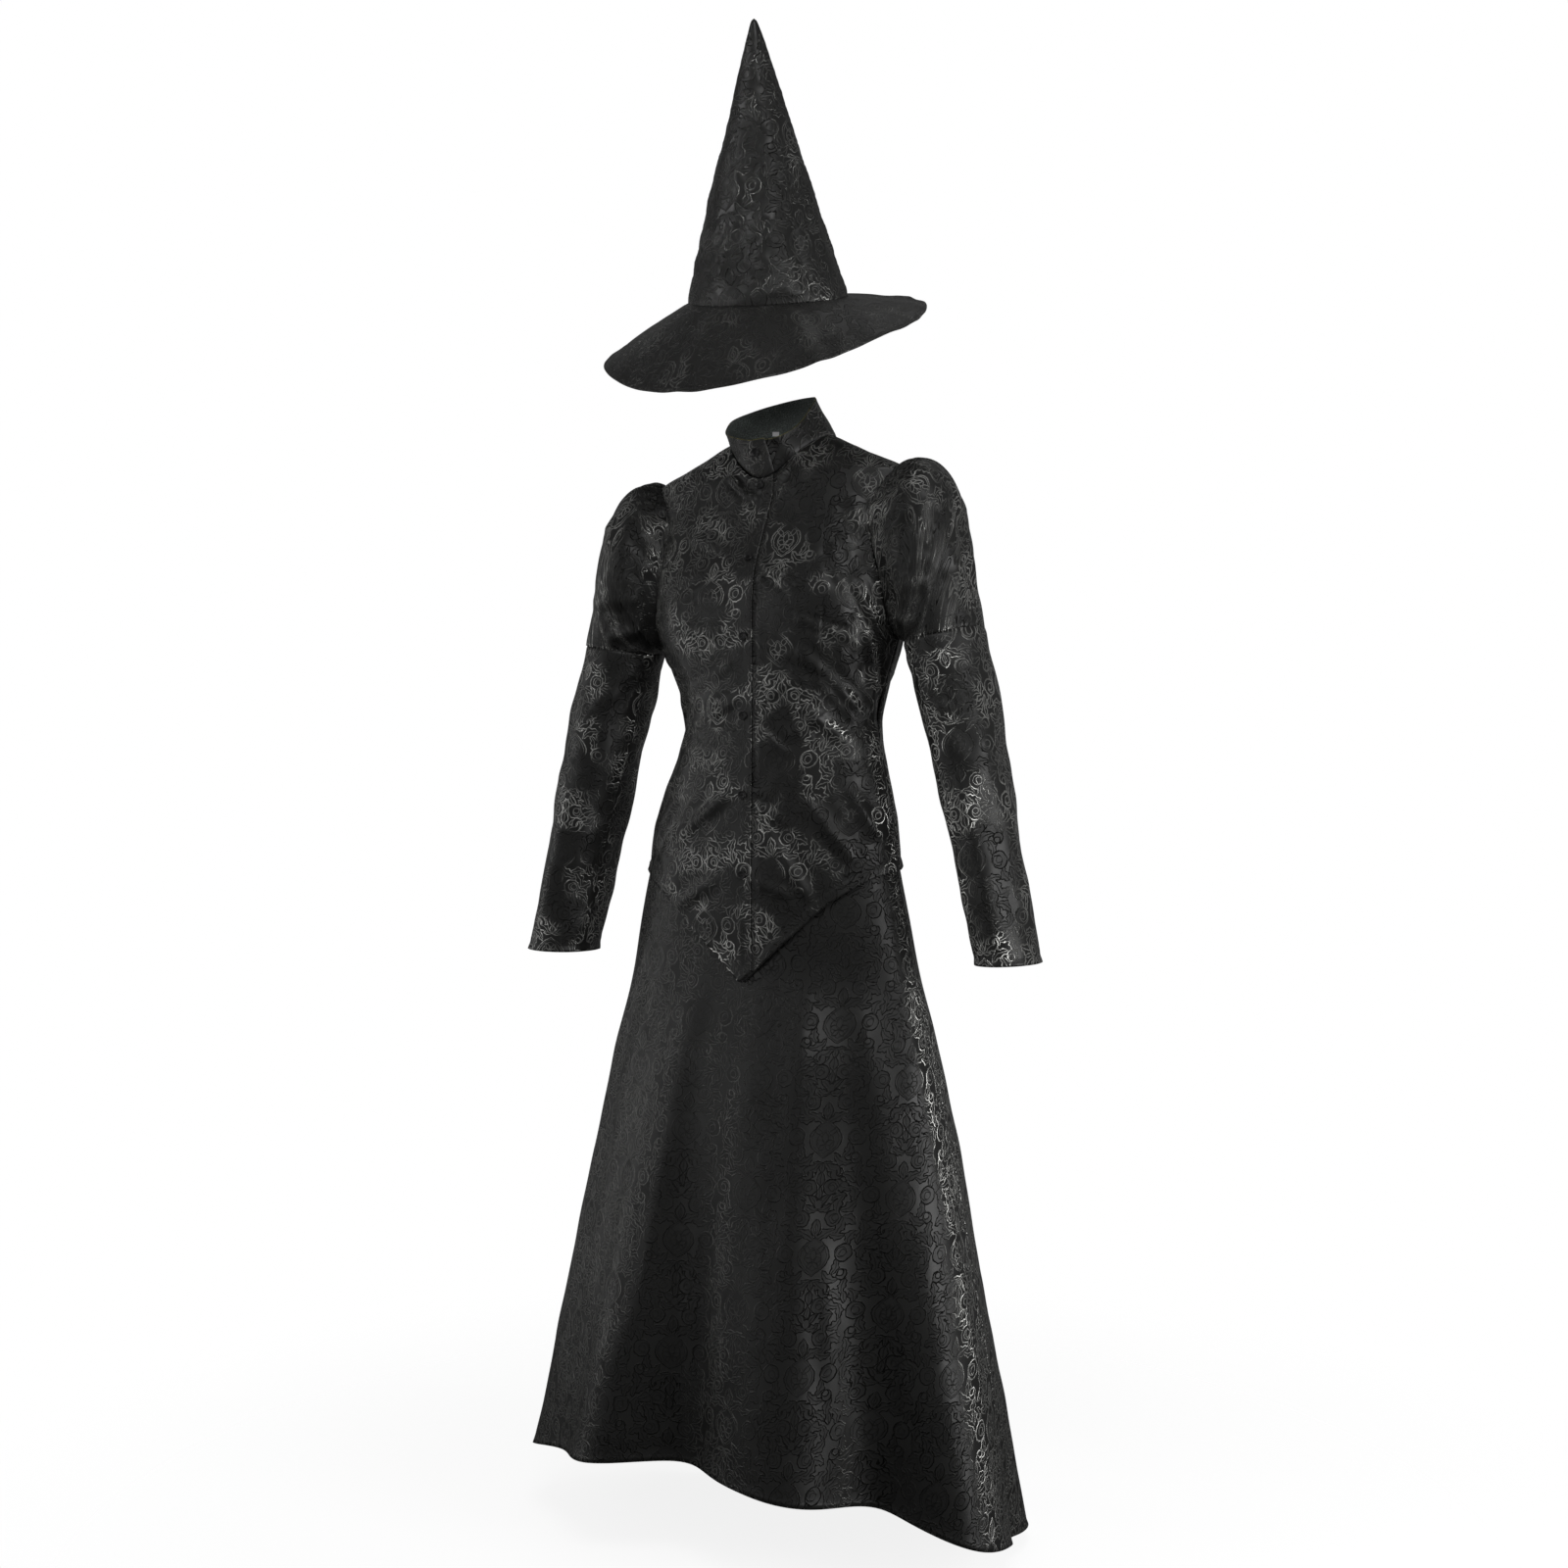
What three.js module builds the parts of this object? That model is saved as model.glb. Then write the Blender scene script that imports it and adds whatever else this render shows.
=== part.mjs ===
import * as THREE from 'three';

// Witch costume, worn shape with no wearer: pointed hat, buttoned jacket with a stand collar,
// puffed sleeves and a long flared skirt. Millimetres, +Z up, +X to the wearer's left, front to -Y.
// The origin is the middle of the neck, level with the sides of the neckline.

const WALL = 2.0;
const SEAM_GAP = 0.3;
const LAP_STEP = WALL + 1.2;
const SKIRT_INSET = WALL + LAP_STEP + 2.2;

const { degToRad, radToDeg, lerp, smoothstep, clamp } = THREE.MathUtils;
const vec = (x, y, z) => new THREE.Vector3(x, y, z);
const sinDeg = angle => Math.sin(degToRad(angle));
const cosDeg = angle => Math.cos(degToRad(angle));

// Shape of the filled garment from the neck to the skirt's hem, one row for each level:
// half width, depth of the centre front and centre back, and where the widest point lies
const FIGURE = [
  { z: -1480, halfWidth: 364, front: -273, back: 201, sideY: -28, midX: -1 },
  { z: -1325, halfWidth: 340, front: -248, back: 185, sideY: -28, midX: 3 },
  { z: -1081, halfWidth: 296, front: -211, back: 157, sideY: -26, midX: 4 },
  { z: -800, halfWidth: 239, front: -154, back: 120, sideY: -22, midX: -1 },
  { z: -696, halfWidth: 216, front: -113, back: 104, sideY: -18, midX: -8 },
  { z: -620, halfWidth: 202, front: -107, back: 94, sideY: -15, midX: -10 },
  { z: -560, halfWidth: 189, front: -106, back: 84, sideY: -13, midX: -10 },
  { z: -470, halfWidth: 167, front: -105, back: 74, sideY: -13, midX: -4 },
  { z: -374, halfWidth: 139, front: -103, back: 68, sideY: -13, midX: 6 },
  { z: -320, halfWidth: 150, front: -102, back: 76, sideY: -12, midX: 5 },
  { z: -266, halfWidth: 171, front: -101, back: 84, sideY: -10, midX: 0 },
  { z: -190, halfWidth: 180, front: -97, back: 90, sideY: -8, midX: 0 },
  { z: -135, halfWidth: 183, front: -79, back: 92, sideY: -8, midX: 0 },
  { z: -90, halfWidth: 184, front: -66, back: 90, sideY: -10, midX: 0 },
  { z: -62, halfWidth: 182, front: -61, back: 86, sideY: -12, midX: 0 },
  { z: -50, halfWidth: 178, front: -58, back: 83, sideY: -13, midX: 0 },
  { z: -24, halfWidth: 124, front: -48, back: 75, sideY: -6, midX: 0 },
  { z: 1, halfWidth: 73, front: -32, back: 66, sideY: 0, midX: 0 },
  { z: 14, halfWidth: 40, front: -20, back: 56, sideY: 6, midX: 0 },
];

// Soft rises of the front over the bust, by angle round the figure and height
const BUST = [
  { at: -52, z: -215, rise: 15, spreadAngle: 25, spreadZ: 74 },
  { at: -128, z: -215, rise: 15, spreadAngle: 25, spreadZ: 74 },
];

// Flutes of the skirt: ridges rise and troughs sink most at the hem
const FLUTES = [
  { at: -151, rise: 18, spread: 16 },
  { at: -115, rise: 37, spread: 11 },
  { at: -95, rise: -38, spread: 9.5 },
  { at: -68, rise: 31, spread: 14 },
  { at: -47, rise: -48, spread: 11 },
  { at: -26, rise: 46, spread: 15 },
  { at: 14, rise: -22, spread: 14 },
  { at: 44, rise: 28, spread: 15 },
  { at: 72, rise: -26, spread: 12 },
  { at: 100, rise: 32, spread: 14 },
  { at: 130, rise: -24, spread: 13 },
  { at: 168, rise: 7, spread: 14 },
];
const FLUTE_TOP = -545;
const FLUTE_FULL = -1340;

// Neckline: an oval in plan, cut out of the form
const NECK = { halfWidth: 73, front: 60, back: 58 };
const NECK_SEARCH = { low: -110, high: 13.5 };

// Armhole: an egg in side view
const ARMHOLE = { topZ: -50, underZ: -266, topY: -13, underY: -10, frontHalf: 37, backHalf: 46 };
const UNDERARM = ARMHOLE.underZ;

// Jacket hem: a deep point at the centre front, near level at the sides and back
const JACKET_HEM = [
  { at: -90, z: -697 },
  { at: -82.5, z: -673 },
  { at: -72, z: -642 },
  { at: -60, z: -611 },
  { at: -48, z: -588 },
  { at: -27, z: -565 },
  { at: 0, z: -556 },
  { at: 30, z: -548 },
  { at: 90, z: -545 },
];

// Front edge of the upper front, past the centre line, by height
const FRONT_EDGE = [
  { z: -700, x: 12 },
  { z: -190, x: 12 },
  { z: -135, x: 13 },
  { z: -103, x: 16 },
  { z: -77, x: 19 },
  { z: -56, x: 18 },
  { z: -20, x: 18 },
];
const UNDER_EDGE_X = 12;

// Skirt hem and waist
const SKIRT_HEM = { middle: -1350, frontRise: 67, sideTilt: 5, sideDip: 7 };
const WAISTBAND = { top: -352, bottom: -384 };
const SKIRT_ROWS = [-384, -415, -450, -490, -530, -580, -640, -700, -850, -1000, -1150];

// Stand collar: base on the neckline, top rim oval in plan and high at the back
const COLLAR = { topX: -10, topY: -18, topHalfWidth: 59, topHalfDepth: 56 };
const COLLAR_RIM = [
  { at: -101, z: -8 },
  { at: -60, z: -8 },
  { at: -40, z: 0 },
  { at: -20, z: 15 },
  { at: 0, z: 36 },
  { at: 25, z: 52 },
  { at: 60, z: 60 },
  { at: 90, z: 60 },
  { at: 120, z: 54 },
  { at: 150, z: 43 },
  { at: 180, z: 29 },
  { at: 210, z: 10 },
  { at: 240, z: -1 },
  { at: 270, z: -9 },
  { at: 288, z: -8 },
];
const COLLAR_ENDS = { under: -101, over: 288, lapFrom: -66 };

// Puffed upper sleeve: outer and inner profile seen from the front, one row for each ring
const UPPER_SLEEVE = [
  { ring: 0, outX: 178, outZ: -50, inX: 173, inZ: -266, midY: -10, halfDepth: 41, twist: 0 },
  { ring: 1, outX: 188, outZ: -45, inX: 176, inZ: -267, midY: -10, halfDepth: 50, twist: 0 },
  { ring: 2, outX: 202, outZ: -43, inX: 179, inZ: -268, midY: -10, halfDepth: 58, twist: 1 },
  { ring: 3, outX: 225, outZ: -51, inX: 181, inZ: -269, midY: -10, halfDepth: 64, twist: 2 },
  { ring: 4, outX: 246, outZ: -70, inX: 183, inZ: -270, midY: -10, halfDepth: 66, twist: 4 },
  { ring: 5, outX: 261, outZ: -105, inX: 185, inZ: -271, midY: -11, halfDepth: 66, twist: 6 },
  { ring: 6, outX: 269, outZ: -150, inX: 186, inZ: -272, midY: -13, halfDepth: 63, twist: 8 },
  { ring: 7, outX: 275, outZ: -196, inX: 187, inZ: -273, midY: -15, halfDepth: 60, twist: 9 },
  { ring: 8, outX: 290, outZ: -257, inX: 188, inZ: -274, midY: -17, halfDepth: 56, twist: 10 },
];

// Gathers at the sleeve head: angle round the armhole, height and how far down they reach in rings
const GATHERS = [
  { at: 28, rise: 3.0, spread: 5.0, reach: 3.0 },
  { at: 41, rise: 4.2, spread: 4.6, reach: 4.0 },
  { at: 53, rise: 3.4, spread: 4.2, reach: 3.2 },
  { at: 65, rise: 5.0, spread: 4.6, reach: 5.0 },
  { at: 77, rise: 3.8, spread: 4.2, reach: 3.6 },
  { at: 89, rise: 5.4, spread: 4.6, reach: 5.4 },
  { at: 101, rise: 4.0, spread: 4.2, reach: 3.8 },
  { at: 113, rise: 5.2, spread: 4.6, reach: 5.2 },
  { at: 125, rise: 3.6, spread: 4.2, reach: 3.4 },
  { at: 137, rise: 4.6, spread: 4.6, reach: 4.6 },
  { at: 150, rise: 3.2, spread: 5.0, reach: 3.0 },
];

// Straight lower sleeve from the seam below the puff to the cuff
const LOWER_SLEEVE = [
  { ring: 0, outX: 290, outZ: -258, inX: 188, inZ: -275, midY: -17, halfDepth: 56, twist: 10 },
  { ring: 1, outX: 308, outZ: -345, inX: 211, inZ: -352, midY: -19, halfDepth: 57, twist: 12 },
  { ring: 2, outX: 328, outZ: -450, inX: 239, inZ: -455, midY: -23, halfDepth: 56, twist: 14 },
  { ring: 3, outX: 350, outZ: -560, inX: 266, inZ: -563, midY: -28, halfDepth: 54, twist: 16 },
  { ring: 4, outX: 371, outZ: -662, inX: 290, inZ: -666, midY: -32, halfDepth: 52, twist: 17 },
];
const RIGHT_CUFF_DROP = 10;

// Hat: crown and brim round one leaning axis
const HAT = { x: -17, y: -13, z: 185, towardsViewer: 18, viewerAngle: 30, sideLean: 2.9 };
const CROWN = { radius: 105, height: 341, tipRadius: 2.6, tipCap: 4 };

// Soft corners of the crown, by angle round its axis
const CROWN_FOLDS = [
  { at: -78, rise: 5, spread: 16 },
  { at: -38, rise: -7, spread: 24 },
  { at: 35, rise: 4, spread: 22 },
  { at: 110, rise: -6, spread: 26 },
  { at: 200, rise: 4, spread: 24 },
];

// Brim edge by angle round the axis: how far out it lies and how far it droops
const BRIM_EDGE = [
  { at: -180, radius: 219, droop: 76 },
  { at: -135, radius: 207, droop: 96 },
  { at: -90, radius: 214, droop: 77 },
  { at: -45, radius: 215, droop: 36 },
  { at: 0, radius: 206, droop: 17 },
  { at: 45, radius: 214, droop: 15 },
  { at: 90, radius: 220, droop: 18 },
  { at: 135, radius: 224, droop: 48 },
  { at: 180, radius: 219, droop: 76 },
];

// Buttons: flat, round, with a raised rim
const BUTTON = { radius: 5.6, rim: 1.3, height: 2.4, dish: 0.7, sides: 12, stand: 0.6 };
const FRONT_BUTTON_HEIGHTS = [-66, -161, -262, -362, -462, -563];
const COLLAR_BUTTON = { at: -86, up: 0.66 };

// Blank size label inside the back of the collar
const LABEL = { width: 9, height: 6, thick: 0.6, at: 121, up: 0.28 };

// Mesh steps
const STEPS = {
  frontAcross: 14,
  frontLower: 9,
  frontToPit: 5,
  backShoulder: 5,
  backLower: 6,
  skirtAcross: 32,
  collarRound: 38,
  collarUp: 2,
  sleeveHead: 40,
  sleeveUnder: 12,
  lowerSleeveRound: 20,
  lowerSleeveDown: 5,
  crownRound: 28,
  crownUp: 6,
  brimRound: 36,
  brimOut: 3,
};
const NECK_STEPS = 6;
const ARMHOLE_STEPS = STEPS.frontToPit + 1 + NECK_STEPS;

// Smooth curve through one named column of a table, by its key column
function curve(table, key, name) {
  const xs = table.map(row => row[key]);
  const ys = table.map(row => row[name]);
  const last = xs.length - 1;
  const slopes = xs.map((x, i) => {
    const before = Math.max(i - 1, 0);
    const after = Math.min(i + 1, last);
    return (ys[after] - ys[before]) / (xs[after] - xs[before]);
  });
  return at => {
    const x = clamp(at, xs[0], xs[last]);
    let i = 0;
    while (i < last - 1 && x > xs[i + 1]) i += 1;
    const span = xs[i + 1] - xs[i];
    const s = (x - xs[i]) / span;
    const rise = s * s * (3 - 2 * s);
    const lead = s * (1 - s) * (1 - s) * span;
    const tail = s * s * (s - 1) * span;
    return ys[i] + (ys[i + 1] - ys[i]) * rise + slopes[i] * lead + slopes[i + 1] * tail;
  };
}

// One function for each named column of a table
function curves(table, key) {
  const names = Object.keys(table[0]).filter(name => name !== key);
  return Object.fromEntries(names.map(name => [name, curve(table, key, name)]));
}

const figure = curves(FIGURE, 'z');
const jacketHem = curve(JACKET_HEM, 'at', 'z');
const frontEdge = curve(FRONT_EDGE, 'z', 'x');
const collarRim = curve(COLLAR_RIM, 'at', 'z');
const brimEdge = curves(BRIM_EDGE, 'at');

// Shortest signed turn from one angle to another, in degrees
function turnBetween(from, to) {
  const turn = (to - from) % 360;
  if (turn > 180) return turn - 360;
  if (turn < -180) return turn + 360;
  return turn;
}

// Soft swelling at one angle
function swell(angle, row, spread) {
  const away = turnBetween(row.at, angle) / spread;
  return row.rise * Math.exp(-away * away);
}

// Outer face of the garment at an angle round the figure and a height
function form(angle, z) {
  const c = cosDeg(angle);
  const s = sinDeg(angle);
  const side = figure.sideY(z);
  const width = figure.halfWidth(z);
  const depth = s < 0 ? side - figure.front(z) : figure.back(z) - side;
  const out = new THREE.Vector2(c / width, s / depth).normalize();
  let rise = 0;
  for (const row of BUST) {
    const away = (z - row.z) / row.spreadZ;
    rise += swell(angle, row, row.spreadAngle) * Math.exp(-away * away);
  }
  const growth = clamp((FLUTE_TOP - z) / (FLUTE_TOP - FLUTE_FULL), 0, 1.2);
  for (const row of FLUTES) rise += swell(angle, row, row.spread) * growth ** 1.5;
  return vec(figure.midX(z) + width * c + out.x * rise, side + depth * s + out.y * rise, z);
}

// Outward direction of the form
function formNormal(angle, z) {
  const across = form(angle + 0.3, z).sub(form(angle - 0.3, z));
  const up = form(angle, z + 0.5).sub(form(angle, z - 0.5));
  return across.cross(up).normalize();
}

// Angle round the figure at a given x on the front half
function angleAtX(x, z) {
  return -radToDeg(Math.acos(clamp((x - figure.midX(z)) / figure.halfWidth(z), -1, 1)));
}

// Place on the form, as angle and height, under a point of the neckline oval
function neckPlace(turn, spread = 0) {
  const half = sinDeg(turn) < 0 ? NECK.front : NECK.back;
  const x = (NECK.halfWidth + spread) * cosDeg(turn);
  const y = (half + spread) * sinDeg(turn);
  let { low, high } = NECK_SEARCH;
  const depthAt = z => {
    const side = figure.sideY(z);
    return y < side ? side - figure.front(z) : figure.back(z) - side;
  };
  const reach = z => Math.hypot(x / figure.halfWidth(z), (y - figure.sideY(z)) / depthAt(z));
  for (let i = 0; i < 40; i += 1) {
    const z = (low + high) / 2;
    if (reach(z) < 1) low = z;
    else high = z;
  }
  const z = (low + high) / 2;
  const angle = radToDeg(Math.atan2((y - figure.sideY(z)) / depthAt(z), x / figure.halfWidth(z)));
  return { angle, z };
}

// Place on the form along the armhole: 90 is the shoulder, 180 the front, 270 the underarm
function armholePlace(turn) {
  const middleZ = (ARMHOLE.topZ + ARMHOLE.underZ) / 2;
  const halfZ = (ARMHOLE.topZ - ARMHOLE.underZ) / 2;
  const z = middleZ + halfZ * sinDeg(turn);
  const middleY = lerp(ARMHOLE.underY, ARMHOLE.topY, (sinDeg(turn) + 1) / 2);
  const half = cosDeg(turn) < 0 ? ARMHOLE.frontHalf : ARMHOLE.backHalf;
  const y = middleY + half * cosDeg(turn);
  const side = figure.sideY(z);
  const depth = y < side ? side - figure.front(z) : figure.back(z) - side;
  return { angle: radToDeg(Math.asin(clamp((y - side) / depth, -1, 1))), z };
}

const evenly = (count, from = 0, to = 1) =>
  Array.from({ length: count + 1 }, (_, i) => lerp(from, to, i / count));

// Outward direction of a surface given by two numbers, from points a small step away on each side
function slopeNormal(point, u, v, stepU, stepV) {
  const across = point(u + stepU, v).sub(point(u - stepU, v));
  const up = point(u, v + stepV).sub(point(u, v - stepV));
  return across.cross(up).normalize();
}

// Cloth wall between an outer face and the same face moved in along its normals.
// Where no normal is given, it comes from the neighbouring points. A closed wall runs all the way
// round, and a wall with a tip ends in one point on each face.
function clothWall({ point, normal, us, vs, closed = false, tip = null }) {
  const columns = us.length;
  const rows = vs.length;
  const near = (list, i, step) => list[clamp(i + step, 0, list.length - 1)];
  const wrapped = (i, step) => us[(i + step + columns) % columns];
  const fromNeighbours = (i, j) => {
    const ahead = point(closed ? wrapped(i, 1) : near(us, i, 1), vs[j]);
    const behind = point(closed ? wrapped(i, -1) : near(us, i, -1), vs[j]);
    const above = point(us[i], near(vs, j, 1));
    const below = point(us[i], near(vs, j, -1));
    return ahead.sub(behind).cross(above.sub(below)).normalize();
  };
  const outer = [];
  const inner = [];
  for (let j = 0; j < rows; j += 1) {
    for (let i = 0; i < columns; i += 1) {
      const here = point(us[i], vs[j]);
      const out = normal ? normal(us[i], vs[j]) : fromNeighbours(i, j);
      outer.push(here);
      inner.push(here.clone().addScaledVector(out, -WALL));
    }
  }
  const points = [...outer, ...inner];
  const shift = outer.length;
  const at = (i, j) => j * columns + (i % columns);
  const faces = [];
  const quad = (a, b, c, d) => faces.push([a, b, c], [a, c, d]);
  const spans = closed ? columns : columns - 1;
  for (let j = 0; j < rows - 1; j += 1) {
    for (let i = 0; i < spans; i += 1) {
      const corners = [at(i, j), at(i + 1, j), at(i + 1, j + 1), at(i, j + 1)];
      quad(...corners);
      quad(...corners.map(k => k + shift).reverse());
    }
  }
  const rim = (a, b) => quad(b, a, a + shift, b + shift);
  for (let i = 0; i < spans; i += 1) {
    rim(at(i, 0), at(i + 1, 0));
    if (!tip) rim(at(i + 1, rows - 1), at(i, rows - 1));
  }
  if (!closed) {
    for (let j = 0; j < rows - 1; j += 1) {
      rim(at(0, j + 1), at(0, j));
      rim(at(columns - 1, j), at(columns - 1, j + 1));
    }
  }
  if (tip) {
    points.push(tip.outer, tip.inner);
    const top = rows - 1;
    for (let i = 0; i < spans; i += 1) {
      faces.push([at(i, top), at(i + 1, top), points.length - 2]);
      faces.push([at(i + 1, top) + shift, at(i, top) + shift, points.length - 1]);
    }
  }
  return solidFrom(points, faces);
}

// Geometry from points and triangles
function solidFrom(points, faces) {
  const geometry = new THREE.BufferGeometry();
  geometry.setAttribute('position', new THREE.Float32BufferAttribute(points.flatMap(p => p.toArray()), 3));
  geometry.setIndex(faces.flat());
  return geometry;
}

// The same solid on the other side of the body
function mirrored(geometry) {
  const copy = geometry.clone().scale(-1, 1, 1);
  const index = copy.index.array;
  for (let i = 0; i < index.length; i += 3) [index[i], index[i + 1]] = [index[i + 1], index[i]];
  return copy;
}

// Small turn round the form that opens half a seam gap there
function seamTurn(z) {
  return radToDeg(SEAM_GAP / 2 / (figure.sideY(z) - figure.front(z)));
}

// Points of the neckline and the armhole that the jacket's panels, the collar and the sleeves share
const neckTurns = evenly(NECK_STEPS, -90, 0);
const neckNode = turn => {
  const place = neckPlace(turn);
  return form(place.angle, place.z);
};
const armholeNode = side => turn => {
  const place = armholePlace(turn);
  const spot = form(side < 0 ? 180 - place.angle : place.angle, place.z);
  return spot.setX(side * spot.x);
};

// Point on the straight lines between shared points
function alongNodes(node, turn, first, step) {
  const before = first + Math.floor((turn - first) / step + 1e-9) * step;
  return node(before).lerp(node(before + step), (turn - before) / step);
}

// Across one front from its front edge, finer where it steps in under the other front
const lapSteps = [0, 0.05, 0.105, 0.16, 0.215, 0.27];
const frontColumns = [...lapSteps, ...evenly(STEPS.frontAcross - 5, 0.27, 1).slice(1)];

// One front, worked out as the wearer's left one. The right one mirrors the angles, so that it
// follows the same form, and laps over the left one.
function jacketFront(side) {
  const over = side < 0;
  const trueAngle = angle => (over ? -180 - angle : angle);
  const edgeAngle = z => (over ? -180 - angleAtX(frontEdge(z), z) : angleAtX(-UNDER_EDGE_X, z));
  const pitX = over ? frontEdge(FRONT_EDGE.at(-1).z) : UNDER_EDGE_X;
  const pit = neckPlace(-90 - radToDeg(Math.asin(pitX / NECK.halfWidth)));
  const seamEdge = z => -seamTurn(z);
  const lowerPlace = (across, row) => {
    const start = lerp(edgeAngle(UNDERARM), 0, across);
    const z = lerp(jacketHem(start < -90 ? -180 - start : start), UNDERARM, row / STEPS.frontLower);
    return { angle: lerp(edgeAngle(z), seamEdge(z), across), z };
  };
  const upperPlace = (across, row) => {
    const toPit = STEPS.frontToPit;
    const climb = lerp(UNDERARM, pit.z, Math.min(row / toPit, 1));
    const edge = row < toPit ? { angle: edgeAngle(climb), z: climb } : pit;
    const start = row > toPit ? neckPlace(neckTurns[row - toPit - 1]) : edge;
    const end = armholePlace(lerp(270, 90, row / ARMHOLE_STEPS));
    const z = lerp(start.z, end.z, across);
    return { angle: Math.min(lerp(start.angle, end.angle, across), seamEdge(z)), z };
  };
  const place = (across, row) =>
    row <= STEPS.frontLower ? lowerPlace(across, row) : upperPlace(across, row - STEPS.frontLower);
  const normal = (across, row) => {
    const { angle, z } = place(across, row);
    return formNormal(trueAngle(angle), z);
  };
  const point = (across, row) => {
    const { angle, z } = place(across, row);
    const spot = form(trueAngle(angle), z);
    if (over) return spot;
    const lap = 1 - smoothstep(spot.x, frontEdge(z) + 4, frontEdge(z) + 24);
    return spot.addScaledVector(formNormal(angle, z), -LAP_STEP * lap);
  };
  const vs = evenly(STEPS.frontLower + ARMHOLE_STEPS, 0, STEPS.frontLower + ARMHOLE_STEPS).map(Math.round);
  if (!over) return clothWall({ point, normal, us: frontColumns, vs });
  return clothWall({
    point: (across, row) => point(1 - across, row),
    normal: (across, row) => normal(1 - across, row),
    us: frontColumns.map(across => 1 - across).reverse(),
    vs,
  });
}

// The back in one piece, between the side seams, armholes, shoulders and neckline
function jacketBack() {
  const blend = (a, b, s) => ({ angle: lerp(a.angle, b.angle, s), z: lerp(a.z, b.z, s) });
  const opposite = spot => ({ angle: 180 - spot.angle, z: spot.z });
  const shoulder = armholePlace(90);
  const neckSide = neckPlace(0);
  const half = STEPS.backShoulder + NECK_STEPS;
  const top = column => {
    if (column > half) return opposite(top(2 * half - column));
    if (column < STEPS.backShoulder) return blend(shoulder, neckSide, column / STEPS.backShoulder);
    return neckPlace(90 * ((column - STEPS.backShoulder) / NECK_STEPS));
  };
  const leftEdge = height => armholePlace(lerp(-90, 90, height));
  const place = (column, row) => {
    const across = column / (2 * half);
    if (row <= STEPS.backLower) {
      const angle = 180 * across;
      const hemZ = jacketHem(Math.min(angle, 180 - angle));
      return { angle, z: lerp(hemZ, UNDERARM, row / STEPS.backLower) };
    }
    const height = (row - STEPS.backLower) / ARMHOLE_STEPS;
    const level = { angle: 180 * across, z: UNDERARM };
    const rows = blend(level, top(column), height);
    const sides = blend(leftEdge(height), opposite(leftEdge(height)), across);
    const corner = blend(leftEdge(0), leftEdge(1), height);
    const corners = blend(corner, opposite(corner), across);
    return { angle: rows.angle + sides.angle - corners.angle, z: rows.z + sides.z - corners.z };
  };
  const seamed = (column, row) => {
    const { angle, z } = place(column, row);
    const gap = seamTurn(z);
    return [clamp(angle, gap, 180 - gap), z];
  };
  return clothWall({
    point: (column, row) => form(...seamed(column, row)),
    normal: (column, row) => formNormal(...seamed(column, row)),
    us: evenly(2 * half, 0, 2 * half).map(Math.round),
    vs: evenly(STEPS.backLower + ARMHOLE_STEPS, 0, STEPS.backLower + ARMHOLE_STEPS).map(Math.round),
  });
}

// Height of the skirt's hem at an angle
function skirtHem(angle) {
  const { middle, frontRise, sideTilt, sideDip } = SKIRT_HEM;
  return middle - frontRise * sinDeg(angle) - sideTilt * cosDeg(angle) - sideDip * cosDeg(2 * angle);
}

// Point on the skirt's outer face, which lies inside the jacket
function skirtPoint(angle, z) {
  return form(angle, z).addScaledVector(formNormal(angle, z), -SKIRT_INSET);
}

// Half of the skirt, from one side seam to the other. Its rows lie close together under the jacket.
function skirtPanel(firstAngle) {
  const top = WAISTBAND.bottom - SEAM_GAP;
  const first = firstAngle + seamTurn(top);
  const last = firstAngle + 180 - seamTurn(top);
  const place = (angle, row) => {
    const z = row < SKIRT_ROWS.length ? SKIRT_ROWS[row] : skirtHem(angle);
    return [clamp(angle, first, last), row === 0 ? top : z];
  };
  return clothWall({
    point: (angle, row) => skirtPoint(...place(angle, row)),
    normal: (angle, row) => formNormal(...place(angle, row)),
    us: evenly(STEPS.skirtAcross, firstAngle, firstAngle + 180),
    vs: SKIRT_ROWS.map((_, row) => SKIRT_ROWS.length - row).concat(0),
  });
}

function skirtWaistband() {
  return clothWall({
    point: skirtPoint,
    normal: formNormal,
    us: evenly(2 * STEPS.skirtAcross, 0, 360).slice(0, -1),
    vs: [WAISTBAND.bottom, WAISTBAND.top],
    closed: true,
  });
}

// Point on the collar's outer face
function collarPoint(turn, up) {
  const base = alongNodes(neckNode, turn, 0, 90 / NECK_STEPS).add(vec(0, 0, SEAM_GAP + 0.2));
  const rim = vec(
    COLLAR.topX + COLLAR.topHalfWidth * cosDeg(turn),
    COLLAR.topY + COLLAR.topHalfDepth * sinDeg(turn),
    collarRim(turn),
  );
  const spot = base.lerp(rim, up);
  const lap = 1 - smoothstep(turn, COLLAR_ENDS.lapFrom, COLLAR_ENDS.lapFrom + 14);
  const inward = vec(-cosDeg(turn), -sinDeg(turn), 0);
  return spot.addScaledVector(inward, LAP_STEP * lap);
}

function standCollar() {
  const { under, over, lapFrom } = COLLAR_ENDS;
  const lap = evenly(8, under, lapFrom + 16);
  const round = evenly(STEPS.collarRound - 8, lapFrom + 16, over).slice(1);
  return clothWall({ point: collarPoint, us: [...lap, ...round], vs: evenly(STEPS.collarUp) });
}

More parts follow.
